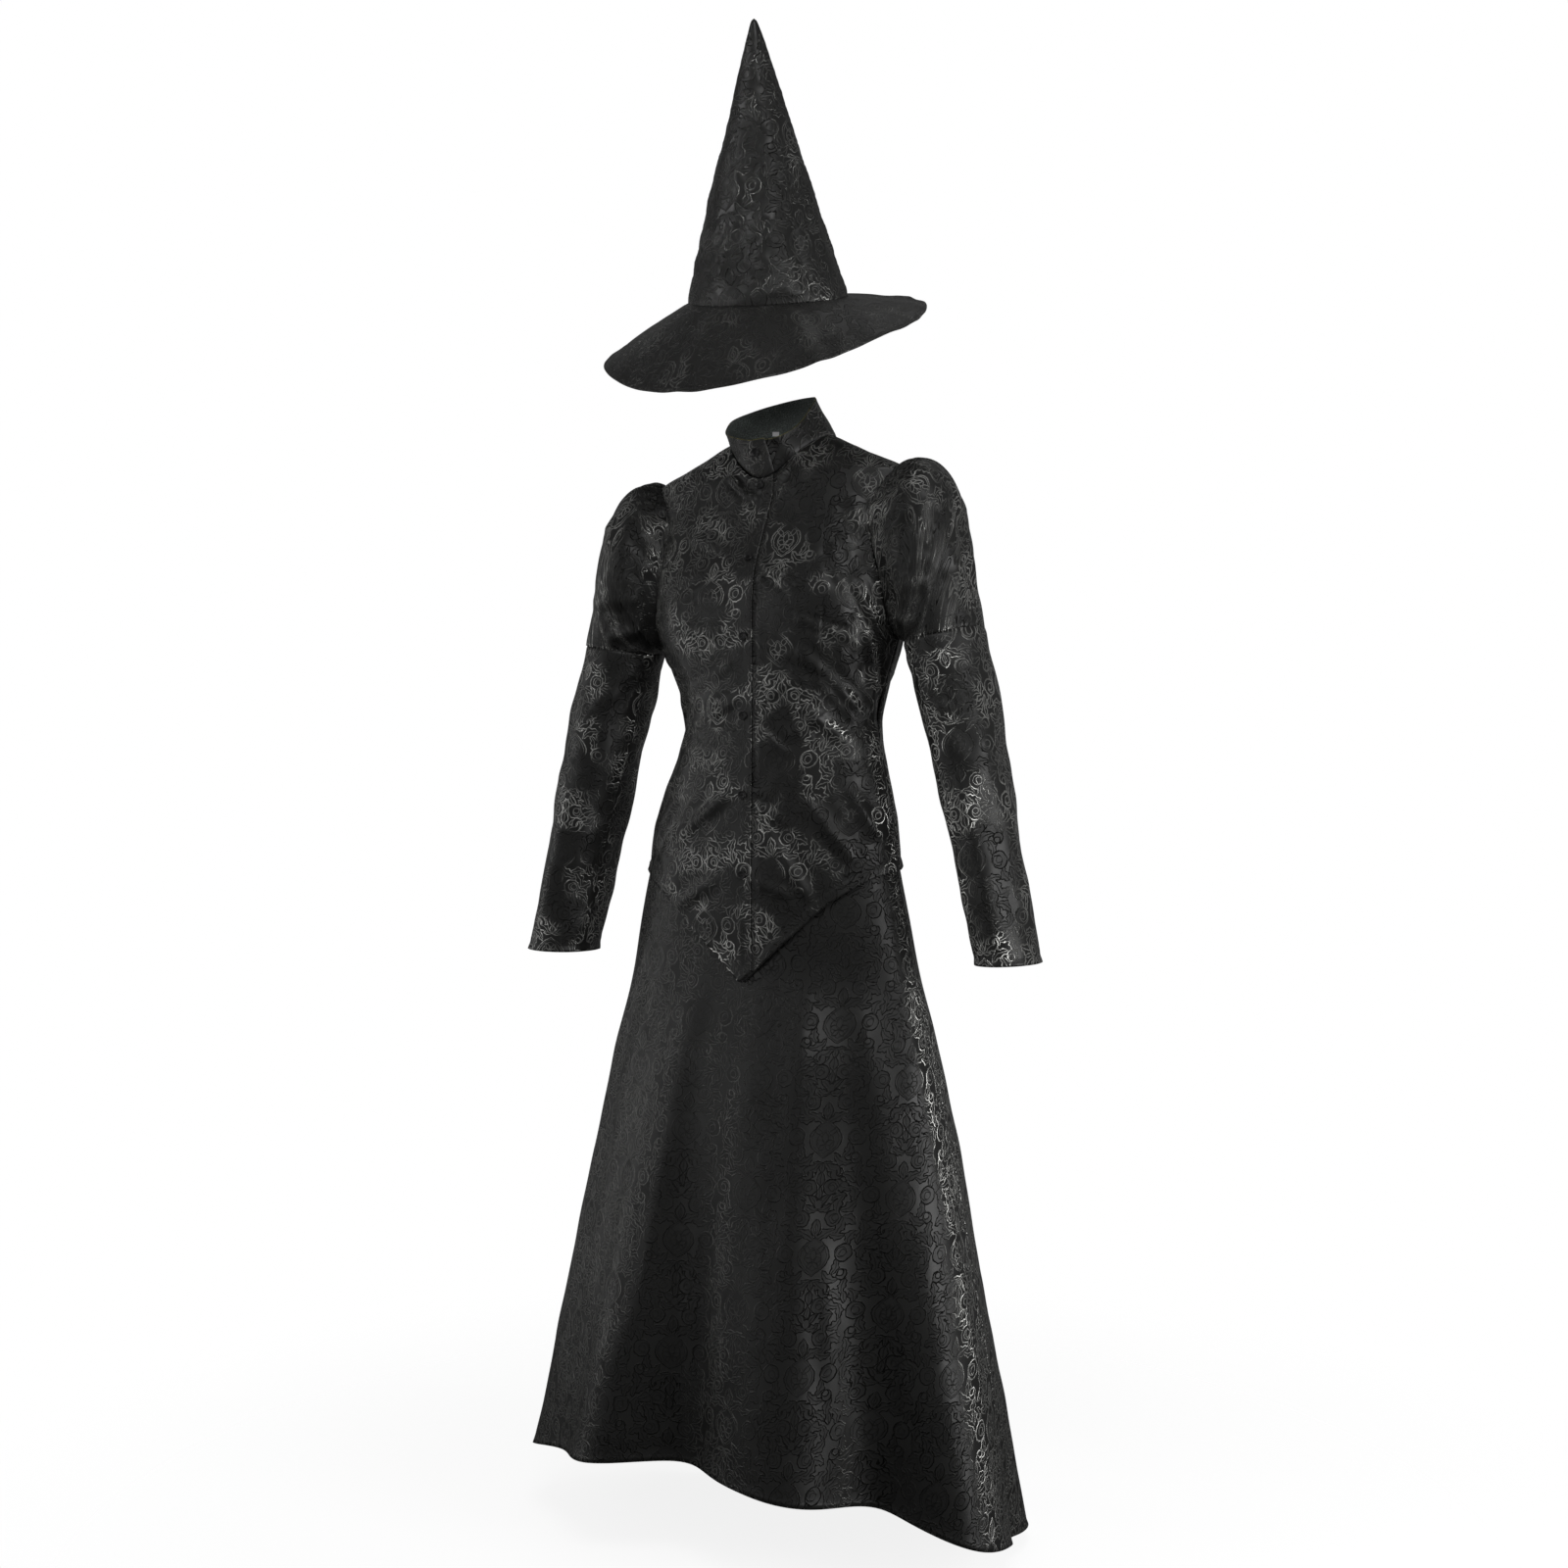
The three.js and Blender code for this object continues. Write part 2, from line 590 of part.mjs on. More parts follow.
// Ring of a sleeve at a place along its table
function sleeveRing(table, drop = 0) {
  const rings = curves(table, 'ring');
  return (turn, along) => {
    const lower = (drop * along) / (table.length - 1);
    const outer = vec(rings.outX(along), 0, rings.outZ(along) - lower);
    const inside = vec(rings.inX(along), 0, rings.inZ(along) - lower);
    const middle = inside.clone().lerp(outer, 0.5);
    const offset = outer.sub(middle).multiplyScalar(sinDeg(turn));
    offset.y = rings.halfDepth(along) * cosDeg(turn);
    offset.applyAxisAngle(vec(0, 0, 1), degToRad(rings.twist(along)));
    return middle.setY(rings.midY(along)).add(offset);
  };
}

const upperRing = sleeveRing(UPPER_SLEEVE);

// Point on a puffed sleeve's outer face, which starts on the armhole of its side. Both sleeves are
// worked out as the wearer's left one.
function upperSleevePoint(side, turn, along) {
  const edge = alongNodes(armholeNode(side), turn, 90, 180 / ARMHOLE_STEPS);
  const start = edge.add(vec(2 * SEAM_GAP, 0, 0));
  const spot = start.lerp(upperRing(turn, along), smoothstep(along, 0, 2.5));
  const wrapped = turn < -90 ? turn + 360 : turn;
  let rise = 0;
  for (const row of GATHERS) {
    const fade = 1 - smoothstep(along, 0.6, row.reach);
    const away = (wrapped - row.at) / row.spread;
    rise += row.rise * Math.exp(-away * away) * fade;
  }
  const ramp = smoothstep(along, 0, 0.9);
  const centre = upperRing(90, along).lerp(upperRing(270, along), 0.5);
  return spot.add(spot.clone().sub(centre).normalize().multiplyScalar(rise * ramp));
}

function upperSleeve(side) {
  const point = (turn, along) => upperSleevePoint(side, turn, along);
  const last = UPPER_SLEEVE.length - 1;
  const head = evenly(STEPS.sleeveHead, 22, 156);
  const under = evenly(STEPS.sleeveUnder, 156, 382).slice(1, -1);
  const us = [...head, ...under].map(turn => (turn > 270 ? turn - 360 : turn));
  const vs = [0, 0.5, 1.1, 1.9, 2.8, 3.9, 5.2, 6.6, last];
  return clothWall({
    point,
    normal: (turn, along) => slopeNormal(point, turn, along, 0.8, 0.15),
    us,
    vs,
    closed: true,
  });
}

function lowerSleeve(drop) {
  const last = LOWER_SLEEVE.length - 1;
  const vs = evenly(STEPS.lowerSleeveDown, 0, last);
  const us = evenly(STEPS.lowerSleeveRound, 0, 360).slice(0, -1);
  return clothWall({ point: sleeveRing(LOWER_SLEEVE, drop), us, vs, closed: true });
}

// Radius of the crown at an angle, with its soft corners, by height above the brim
function crownPoint(turn, up) {
  let rise = 0;
  for (const row of CROWN_FOLDS) rise += swell(turn, row, row.spread);
  const taper = 1 - up;
  const radius = lerp(CROWN.tipRadius, CROWN.radius, taper) + rise * taper * Math.min(up * 4, 1);
  return vec(radius * cosDeg(turn), radius * sinDeg(turn), CROWN.height * up);
}

function hatCrown() {
  const top = CROWN.height + CROWN.tipCap;
  return clothWall({
    point: crownPoint,
    us: evenly(STEPS.crownRound, 0, 360).slice(0, -1),
    vs: evenly(STEPS.crownUp),
    closed: true,
    tip: { outer: vec(0, 0, top), inner: vec(0, 0, top - 12 * WALL) },
  });
}

// Point on the brim's upper face, from the crown's foot out to the edge
function brimPoint(turn, out) {
  const angle = turnBetween(0, turn);
  const reach = brimEdge.radius(angle) - CROWN.radius;
  const droop = brimEdge.droop(angle);
  const radius = CROWN.radius + reach * out;
  const drop = droop * (0.86 * out + 0.14 * out * out);
  return vec(radius * cosDeg(turn), radius * sinDeg(turn), -SEAM_GAP - 0.2 - drop);
}

function hatBrim() {
  return clothWall({
    point: (turn, inward) => brimPoint(turn, 1 - inward),
    us: evenly(STEPS.brimRound, 0, 360).slice(0, -1),
    vs: evenly(STEPS.brimOut),
    closed: true,
  });
}

// Round button lying on a plane, facing +Z
function buttonSolid() {
  const { radius, rim, height, dish, sides } = BUTTON;
  const profile = [
    [0, 0],
    [radius, 0],
    [radius, height],
    [radius - rim, height],
    [radius - rim - dish, height - dish],
    [0, height - dish],
  ].map(([r, z]) => new THREE.Vector2(r, z));
  return new THREE.LatheGeometry(profile, sides).rotateX(Math.PI / 2);
}

// Stand a piece that faces +Z on a spot, facing along a direction
function seated(geometry, spot, facing) {
  const turn = new THREE.Quaternion().setFromUnitVectors(vec(0, 0, 1), facing);
  return geometry.applyQuaternion(turn).translate(...spot.toArray());
}

// Outward direction of the collar
function collarNormal(turn, up) {
  const across = collarPoint(turn + 1, up).sub(collarPoint(turn - 1, up));
  const rise = collarPoint(turn, up + 0.05).sub(collarPoint(turn, up - 0.05));
  return across.cross(rise).normalize();
}

function frontButton(z) {
  const angle = angleAtX(0, z);
  const facing = formNormal(angle, z);
  const spot = form(angle, z).addScaledVector(facing, BUTTON.stand);
  return seated(buttonSolid(), spot, facing);
}

function collarButton() {
  const turn = COLLAR_BUTTON.at + 360;
  const facing = collarNormal(turn, COLLAR_BUTTON.up);
  const spot = collarPoint(turn, COLLAR_BUTTON.up).addScaledVector(facing, BUTTON.stand);
  return seated(buttonSolid(), spot, facing);
}

function neckLabel() {
  const facing = collarNormal(LABEL.at, LABEL.up).negate();
  const spot = collarPoint(LABEL.at, LABEL.up).addScaledVector(facing, WALL + 2 * SEAM_GAP + LABEL.thick);
  const across = vec(0, 0, 1).cross(facing).normalize();
  const upright = facing.clone().cross(across);
  const frame = new THREE.Matrix4().makeBasis(across, upright, facing).setPosition(spot);
  return new THREE.BoxGeometry(LABEL.width, LABEL.height, LABEL.thick).applyMatrix4(frame);
}

const damask = () => new THREE.MeshStandardMaterial({ color: '#20211e', roughness: 0.42, metalness: 0 });
const buttonBlack = () => new THREE.MeshStandardMaterial({ color: '#121212', roughness: 0.35, metalness: 0 });
const labelWhite = () => new THREE.MeshStandardMaterial({ color: '#e9e9e6', roughness: 0.7, metalness: 0 });

function piece(name, geometry, material = damask()) {
  const mesh = new THREE.Mesh(geometry, material);
  mesh.name = name;
  return mesh;
}

function jacket() {
  const group = new THREE.Group();
  group.add(piece('jacket_front_left', jacketFront(1)));
  group.add(piece('jacket_front_right', jacketFront(-1)));
  group.add(piece('jacket_back', jacketBack()));
  group.add(piece('collar', standCollar()));
  group.add(piece('neck_label', neckLabel(), labelWhite()));
  group.add(piece('button_collar', collarButton(), buttonBlack()));
  FRONT_BUTTON_HEIGHTS.forEach((z, i) => {
    group.add(piece(`button_front_${i + 1}`, frontButton(z), buttonBlack()));
  });
  return group;
}

function sleeves() {
  const group = new THREE.Group();
  group.add(piece('sleeve_upper_left', upperSleeve(1)));
  group.add(piece('sleeve_lower_left', lowerSleeve(0)));
  group.add(piece('sleeve_upper_right', mirrored(upperSleeve(-1))));
  group.add(piece('sleeve_lower_right', mirrored(lowerSleeve(RIGHT_CUFF_DROP))));
  return group;
}

function skirt() {
  const group = new THREE.Group();
  group.add(piece('skirt_front', skirtPanel(-180)));
  group.add(piece('skirt_back', skirtPanel(0)));
  group.add(piece('skirt_waistband', skirtWaistband()));
  return group;
}

function hat() {
  const group = new THREE.Group();
  group.add(piece('hat_crown', hatCrown()));
  group.add(piece('hat_brim', hatBrim()));
  const towards = vec(sinDeg(HAT.viewerAngle), -cosDeg(HAT.viewerAngle), 0);
  const sideways = vec(-cosDeg(HAT.viewerAngle), -sinDeg(HAT.viewerAngle), 0);
  const forwardTilt = new THREE.Quaternion().setFromAxisAngle(
    vec(0, 0, 1).cross(towards).normalize(),
    degToRad(HAT.towardsViewer),
  );
  const sideTilt = new THREE.Quaternion().setFromAxisAngle(
    vec(0, 0, 1).cross(sideways).normalize(),
    degToRad(HAT.sideLean),
  );
  const facing = new THREE.Quaternion().setFromAxisAngle(vec(0, 0, 1), degToRad(HAT.viewerAngle));
  group.quaternion.copy(sideTilt).multiply(forwardTilt).multiply(facing);
  group.position.set(HAT.x, HAT.y, HAT.z);
  return group;
}

const costume = new THREE.Group();
costume.add(jacket(), sleeves(), skirt(), hat());

export default costume;
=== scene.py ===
# %% [markdown]
# # A witch costume in black damask
# The costume is shown filled out, with nobody in it: a pointed hat, a buttoned jacket with a stand
# collar and puffed sleeves, and a long flared skirt. The solids give the place of every piece. They
# could be shown as they are, but cloth is thinner and softer than they can be. So each cloth piece
# is made again here as a thin shell on the same form, with finer folds, seams and a woven damask.

# %% Load the solids
import math
import bmesh
import bpy
import numpy as np
from mathutils import Matrix, Vector


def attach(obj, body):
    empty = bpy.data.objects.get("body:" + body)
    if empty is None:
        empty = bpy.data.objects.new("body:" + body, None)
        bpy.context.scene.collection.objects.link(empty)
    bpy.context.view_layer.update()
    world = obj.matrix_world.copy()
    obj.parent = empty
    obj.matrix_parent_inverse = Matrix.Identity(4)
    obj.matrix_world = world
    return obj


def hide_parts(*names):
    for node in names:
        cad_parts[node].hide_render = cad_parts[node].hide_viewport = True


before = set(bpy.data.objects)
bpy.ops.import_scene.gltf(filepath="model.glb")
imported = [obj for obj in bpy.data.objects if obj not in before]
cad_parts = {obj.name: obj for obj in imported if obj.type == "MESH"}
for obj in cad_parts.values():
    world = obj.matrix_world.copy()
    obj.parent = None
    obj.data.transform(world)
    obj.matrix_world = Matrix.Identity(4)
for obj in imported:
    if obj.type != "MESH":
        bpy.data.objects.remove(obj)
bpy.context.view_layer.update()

# %% [markdown]
# ## Sizes
# The solids were worked out from short tables of sections, in millimetres. The same tables stand
# here, so that the shells follow the solids. A table has named columns and one row for a section.
# A smooth line through a column then gives the size at any height. A curve object could do the
# same, but numbers in a table are easier to compare with a tape measure.

# %% Tables and smooth lines
MM = 0.001


def table(names, *rows):
    """Rows of numbers as named columns."""
    columns = [np.array(column, float) for column in zip(*rows)]
    return dict(zip(names.split(), columns))


def smooth_line(xs, ys):
    """Smooth line through points, level past both ends."""
    places = np.arange(len(xs))
    before = np.maximum(places - 1, 0)
    after = np.minimum(places + 1, len(xs) - 1)
    slopes = (ys[after] - ys[before]) / (xs[after] - xs[before])

    def at(x):
        x = np.clip(x, xs[0], xs[-1])
        i = np.clip(np.searchsorted(xs, x) - 1, 0, len(xs) - 2)
        span = xs[i + 1] - xs[i]
        s = (x - xs[i]) / span
        rise = s * s * (3 - 2 * s)
        lead = s * (1 - s) ** 2 * span
        tail = s * s * (s - 1) * span
        return ys[i] + (ys[i + 1] - ys[i]) * rise + slopes[i] * lead + slopes[i + 1] * tail

    return at


def lines(rows, key):
    """One smooth line for each column of a table, read at its key column."""
    return {name: smooth_line(rows[key], column) for name, column in rows.items() if name != key}


def smoothstep(x, low, high):
    s = np.clip((x - low) / (high - low), 0, 1)
    return s * s * (3 - 2 * s)


def mix(a, b, s):
    return a + (b - a) * s


print("a third of the way from 0 to 10, smoothed:", round(float(mix(0, 10, smoothstep(1, 0, 3))), 2))

# %% [markdown]
# ## The worn form
# A worn garment is an oval tube whose size changes from neck to hem. It could be sculpted, but a
# table of ovals can be read and changed row by row, and every panel can ask it for a point. Two
# soft swells make the bust, and twelve flutes grow out of the skirt towards its hem.

# %% The garment's form from neck to hem
WALL = 2.0
SEAM_GAP = 0.3
LAP_ROOM = 1.2
SKIRT_ROOM = 2.2
LAP_STEP = WALL + LAP_ROOM
SKIRT_INSET = WALL + LAP_STEP + SKIRT_ROOM

FIGURE = table(
    "z half_width front back side_y mid_x",
    (-1480, 364, -273, 201, -28, -1),
    (-1325, 340, -248, 185, -28, 3),
    (-1081, 296, -211, 157, -26, 4),
    (-800, 239, -154, 120, -22, -1),
    (-696, 216, -113, 104, -18, -8),
    (-620, 202, -107, 94, -15, -10),
    (-560, 189, -106, 84, -13, -10),
    (-470, 167, -105, 74, -13, -4),
    (-374, 139, -103, 68, -13, 6),
    (-320, 150, -102, 76, -12, 5),
    (-266, 171, -101, 84, -10, 0),
    (-190, 180, -97, 90, -8, 0),
    (-135, 183, -79, 92, -8, 0),
    (-90, 184, -66, 90, -10, 0),
    (-62, 182, -61, 86, -12, 0),
    (-50, 178, -58, 83, -13, 0),
    (-24, 124, -48, 75, -6, 0),
    (1, 73, -32, 66, 0, 0),
    (14, 40, -20, 56, 6, 0),
)
BUST = table("at z rise spread_angle spread_z", (-52, -215, 15, 25, 74), (-128, -215, 15, 25, 74))
FLUTES = table(
    "at rise spread",
    (-151, 18, 16),
    (-115, 37, 11),
    (-95, -38, 9.5),
    (-68, 31, 14),
    (-47, -48, 11),
    (-26, 46, 15),
    (14, -22, 14),
    (44, 28, 15),
    (72, -26, 12),
    (100, 32, 14),
    (130, -24, 13),
    (168, 7, 14),
)
FLUTE_TOP, FLUTE_FULL = -545, -1340
figure = lines(FIGURE, "z")


def sin_deg(angle):
    return np.sin(np.radians(angle))


def cos_deg(angle):
    return np.cos(np.radians(angle))


def turn_between(start, end):
    """The shorter turn from one angle to another."""
    return (end - start + 180) % 360 - 180


def swell(angle, at, rise, spread):
    """A soft bulge round one angle."""
    return rise * np.exp(-((turn_between(at, angle) / spread) ** 2))


def form(angle, z):
    """Outer face of the garment: -90 is the front, 0 the wearer's left, 90 the back."""
    angle, z = np.broadcast_arrays(np.asarray(angle, float), np.asarray(z, float))
    c, s = cos_deg(angle), sin_deg(angle)
    side, width = figure["side_y"](z), figure["half_width"](z)
    depth = np.where(s < 0, side - figure["front"](z), figure["back"](z) - side)
    out_x, out_y = c / width, s / depth
    length = np.hypot(out_x, out_y)
    rise = np.zeros_like(z)
    for at, bust_z, high, spread, spread_z in zip(*BUST.values()):
        rise = rise + swell(angle, at, high, spread) * np.exp(-(((z - bust_z) / spread_z) ** 2))
    growth = np.clip((FLUTE_TOP - z) / (FLUTE_TOP - FLUTE_FULL), 0, 1.2) ** 2.0
    for row in zip(*FLUTES.values()):
        rise = rise + swell(angle, *row) * growth
    x = figure["mid_x"](z) + width * c + out_x / length * rise
    y = side + depth * s + out_y / length * rise
    return np.stack([x, y, z], axis=-1)


def unit(vectors):
    return vectors / np.maximum(np.linalg.norm(vectors, axis=-1, keepdims=True), 1e-9)


def form_normal(angle, z):
    across = form(angle + 0.3, z) - form(angle - 0.3, z)
    up = form(angle, z + 0.5) - form(angle, z - 0.5)
    return unit(np.cross(across, up))


def angle_at_x(x, z):
    """Angle on the front of the form at a given x."""
    ratio = np.clip((x - figure["mid_x"](z)) / figure["half_width"](z), -1, 1)
    return -np.degrees(np.arccos(ratio))


waist_steps = np.diff(form(np.arange(361.0), -374.0), axis=0)
print("waist round:", round(float(np.linalg.norm(waist_steps, axis=1).sum())))

# %% [markdown]
# ## Where the pieces end
# The panels end at the neckline, the armholes, the front edges and the hems. Neckline and armhole
# are ovals, seen from above and from the side. They could be cut out of a full shell, but that
# leaves ragged triangles along the cut. Here each oval is searched for its angle and height on the
# form, and the grid of a panel is stretched so that it ends exactly there.

# %% Neckline, armholes and hems
NECK = {"half_width": 73, "front": 60, "back": 58, "low": -110, "high": 13.5}
ARMHOLE = {"top_z": -50, "under_z": -266, "top_y": -13, "under_y": -10, "front_half": 37, "back_half": 46}
JACKET_HEM = table(
    "at z",
    (-90, -697), (-82.5, -673), (-72, -642), (-60, -611), (-48, -588),
    (-27, -565), (0, -556), (30, -548), (90, -545),
)
FRONT_EDGE = table(
    "z x", (-700, 12), (-190, 12), (-135, 13), (-103, 16), (-77, 19), (-56, 18), (-20, 18)
)
UNDER_EDGE_X = 12
SKIRT_HEM = {"middle": -1350, "front_rise": 67, "side_tilt": 5, "side_dip": 7}
WAISTBAND = {"top": -352, "bottom": -384}
jacket_hem = smooth_line(*JACKET_HEM.values())
front_edge = smooth_line(*FRONT_EDGE.values())


def depth_towards(y, z):
    """Half depth of the form on the side where y lies."""
    side = figure["side_y"](z)
    return np.where(y < side, side - figure["front"](z), figure["back"](z) - side)


def neck_place(turn):
    """Angle and height on the form under a point of the neckline oval."""
    turn = np.asarray(turn, float)
    x = NECK["half_width"] * cos_deg(turn)
    y = np.where(sin_deg(turn) < 0, NECK["front"], NECK["back"]) * sin_deg(turn)
    low, high = np.full(turn.shape, float(NECK["low"])), np.full(turn.shape, NECK["high"])
    for _ in range(40):
        z = (low + high) / 2
        reach = np.hypot(x / figure["half_width"](z), (y - figure["side_y"](z)) / depth_towards(y, z))
        low, high = np.where(reach < 1, z, low), np.where(reach < 1, high, z)
    z = (low + high) / 2
    across, along = x / figure["half_width"](z), (y - figure["side_y"](z)) / depth_towards(y, z)
    return np.degrees(np.arctan2(along, across)), z


def armhole_place(turn):
    """Angle and height along the armhole: 90 is the shoulder, 180 the front, 270 the underarm."""
    lift = sin_deg(turn)
    middle = (ARMHOLE["top_z"] + ARMHOLE["under_z"]) / 2
    half = (ARMHOLE["top_z"] - ARMHOLE["under_z"]) / 2
    z = middle + half * lift
    reach = np.where(cos_deg(turn) < 0, ARMHOLE["front_half"], ARMHOLE["back_half"])
    y = mix(ARMHOLE["under_y"], ARMHOLE["top_y"], (lift + 1) / 2) + reach * cos_deg(turn)
    ratio = np.clip((y - figure["side_y"](z)) / depth_towards(y, z), -1, 1)
    return np.degrees(np.arcsin(ratio)), z


def seam_turn(z):
    """Angle that leaves half a seam's gap at the side."""
    return np.degrees(SEAM_GAP / 2 / (figure["side_y"](z) - figure["front"](z)))


def skirt_hem(angle):
    hem = SKIRT_HEM
    tilt = hem["side_tilt"] * cos_deg(angle) + hem["side_dip"] * cos_deg(2 * angle)
    return hem["middle"] - hem["front_rise"] * sin_deg(angle) - tilt


print("neckline at the front:", neck_place(-90.0), "shoulder:", armhole_place(90.0))

# %% [markdown]
# ## From a flat grid to a worn panel
# A maker cuts each piece flat, and the body bends it. The same happens here: a flat grid from
# `bmesh.ops.create_grid` is laid on the form, row by row, and soft folds push its points in or
# out. A cloth simulation could find folds too, but each of its runs falls otherwise, and here every
# fold has to lie where the picture has it. Each point also remembers where it lay on the flat cut,
# in the UV map "cut", so that the woven pattern runs straight down each piece and breaks at the
# seams, as real cloth does. A second UV map, "edge", gives the distance to the piece's hem or seam,
# for its stitches. A solidify modifier then gives the shell its thickness, with the wrong side of
# the cloth as a second material.

# %% Folds
def away_from_line(points, start, end):
    """Distance from each point to a straight line, and how far along the line it is."""
    line = end - start
    along = np.clip(((points - start) @ line) / (line @ line), 0, 1)
    return np.linalg.norm(points - start - along[..., None] * line, axis=-1), along


def fold_rise(points, start, end, width, high):
    """A soft ridge along a line, with a shallow dip on each side, that fades at both ends."""
    away, along = away_from_line(points, start, end)
    fade = np.clip(4 * along * (1 - along), 0, 1) ** 0.7
    near = away / width
    return high * fade * (np.exp(-(near**1.6)) - 0.35 * np.exp(-((near - 1.9) ** 2)))


def folds_rise(points, folds, place, depth=1.0):
    """All the folds of a table. `place` turns the two numbers of an end into a point."""
    rise = 0
    for start_across, start_along, end_across, end_along, width, high in zip(*folds.values()):
        start, end = place(start_across, start_along), place(end_across, end_along)
        rise = rise + fold_rise(points, start, end, width, high * depth)
    return rise


def one_place(place):
    """The same map for one pair of numbers, where `place` takes whole grids of them."""
    return lambda across, along: place(np.array([across]), np.array([along]))[0]


def ridge_rise(points, corners, width, high):
    """A ridge along a bent line, with a softer slope on both sides."""
    away = np.min([away_from_line(points, a, b)[0] for a, b in zip(corners, corners[1:])], axis=0)
    return high * np.exp(-((away / width) ** 1.3))


def ripple(points, wave, amount, shift=0.0):
    """Gentle uneven waves, the same on every run."""
    total = 0
    for i, (a, b, c) in enumerate([(1, 0.3, 0.5), (-0.6, 1, 0.7), (0.4, -0.8, 1.1), (0.9, 0.7, -0.6)]):
        phase = points @ np.array([a, b, c]) * (2 * math.pi / wave) * (0.8 + 0.17 * i)
        total = total + np.sin(phase + 1.7 * i + shift)
    return amount * total / 4


middle, start, end = np.array([[5.0, 0, 0]]), np.zeros(3), np.array([10.0, 0, 0])
print("a fold drawn 3 mm high rises at its middle:", fold_rise(middle, start, end, 4, 3).round(2), "mm")

# %% Panels
CLOTH = {"jacket": 1.2, "skirt": 1.0, "stiffened": 1.6, "waistband": 1.8}
HEM_STITCH_AT = 8


def tube_normals(points):
    """Outward directions of a grid of points whose last column meets its first."""
    wrapped = np.concatenate([points[:, -2:-1], points, points[:, 1:2]], axis=1)
    across = (wrapped[:, 2:] - wrapped[:, :-2]) / 2
    return unit(np.cross(across, np.gradient(points, axis=0)))


def arc_lengths(points, axis):
    """Distance from the first row or column of a grid of points."""
    steps = np.linalg.norm(np.diff(points, axis=axis), axis=-1)
    pad = [(0, 0), (0, 0)]
    pad[axis] = (1, 0)
    return np.pad(np.cumsum(steps, axis=axis), pad)


def store_uv(mesh, name, values):
    """Keep two numbers for every point of a mesh in a UV map."""
    corners = np.empty(len(mesh.loops), int)
    mesh.loops.foreach_get("vertex_index", corners)
    layer = mesh.uv_layers.new(name=name)
    layer.data.foreach_set("uv", values[corners].astype(np.float32).ravel())


def cloth_panel(name, cells, lay, closed=False, wall=CLOTH["jacket"]):
    """Lay a flat grid on the form. `lay` turns u, v into points, the flat cut and the edge."""
    across, up = cells
    shell = bmesh.new()
    bmesh.ops.create_grid(shell, x_segments=across, y_segments=up, size=0.5)
    bmesh.ops.translate(shell, verts=shell.verts, vec=(0.5, 0.5, 0))
    mesh = bpy.data.meshes.new(name)
    shell.to_mesh(mesh)
    shell.free()
    flat = np.empty(len(mesh.vertices) * 3, np.float32)
    mesh.vertices.foreach_get("co", flat)
    flat = flat.reshape(-1, 3)
    columns = np.rint(flat[:, 0] * across).astype(int)
    rows = np.rint(flat[:, 1] * up).astype(int)
    u, v = np.meshgrid(np.linspace(0, 1, across + 1), np.linspace(0, 1, up + 1))
    points, cut, edge = lay(u, v)
    mesh.vertices.foreach_set("co", (points[rows, columns] * MM).astype(np.float32).ravel())
    store_uv(mesh, "cut", cut[rows, columns] * MM)
    store_uv(mesh, "edge", edge[rows, columns] * MM)
    if closed:
        shell = bmesh.new()
        shell.from_mesh(mesh)
        bmesh.ops.remove_doubles(shell, verts=shell.verts, dist=2e-5)
        shell.to_mesh(mesh)
        shell.free()
    mesh.shade_smooth()
    piece = bpy.data.objects.new(name, mesh)
    bpy.context.scene.collection.objects.link(piece)
    thick = piece.modifiers.new("cloth wall", "SOLIDIFY")
    thick.thickness = wall * MM
    thick.offset = -1
    thick.material_offset = 1
    thick.material_offset_rim = 0
    side = cut[:-1, 1:] - cut[:-1, :-1]
    rise = cut[1:, :-1] - cut[:-1, :-1]
    cells_area = side[..., 0] * rise[..., 1] - side[..., 1] * rise[..., 0]
    piece["flat_area"] = float(abs(cells_area).sum() * MM * MM)
    size = np.ptp(cut.reshape(-1, 2), axis=0) * MM
    piece["flat_size"] = [float(size[0]), float(size[1])]
    print(name, "cells:", across * up, "cut:", [round(length, 3) for length in piece["flat_size"]])
    return piece


def edges(near, run):
    """Distance to the hem or seam, and along it, for the stitches."""
    return np.stack(np.broadcast_arrays(near, run), axis=-1)


def hem_band(near, width):
    """A turned hem: a rolled edge, a flat band, and the groove of its stitches."""
    roll = 0.5 * np.exp(-((near / 2.0) ** 2))
    flat = 0.7 * (1 - smoothstep(near, width - 3, width + 1))
    return roll + flat - 0.9 * np.exp(-(((near - width) / 1.8) ** 2))


def seam_dip(near, depth=0.9):
    """Cloth dips into a seam and swells a little beside it."""
    return 0.4 * np.exp(-(((near - 8) / 5) ** 2)) - depth * np.exp(-((near / 2.5) ** 2))


print("the dip in a seam and the swell beside it:", seam_dip(np.array([0.0, 8.0])).round(2), "mm")

# %% [markdown]
# ## The flat cut
# A pattern that is measured on the flat cut keeps its scale on the worn piece. The form can't be
# unrolled exactly, and unwrapping each panel would turn the pattern by a different amount. So the
# distance round the form is measured once on a grid of angles and heights, and read off between
# the grid's points.

# %% Distance round the form
CUT_STEP = {"angle": 2.0, "height": 8.0}
CUT_ANGLES = np.arange(-180.0, 181.0, CUT_STEP["angle"])
CUT_HEIGHTS = np.arange(-1500.0, 21.0, CUT_STEP["height"])
CUT_ROUND = arc_lengths(form(*np.meshgrid(CUT_ANGLES, CUT_HEIGHTS)), 1)
CENTRE_FRONT = int(np.searchsorted(CUT_ANGLES, -90.0))
CUT_ROUND = CUT_ROUND - CUT_ROUND[:, [CENTRE_FRONT]]


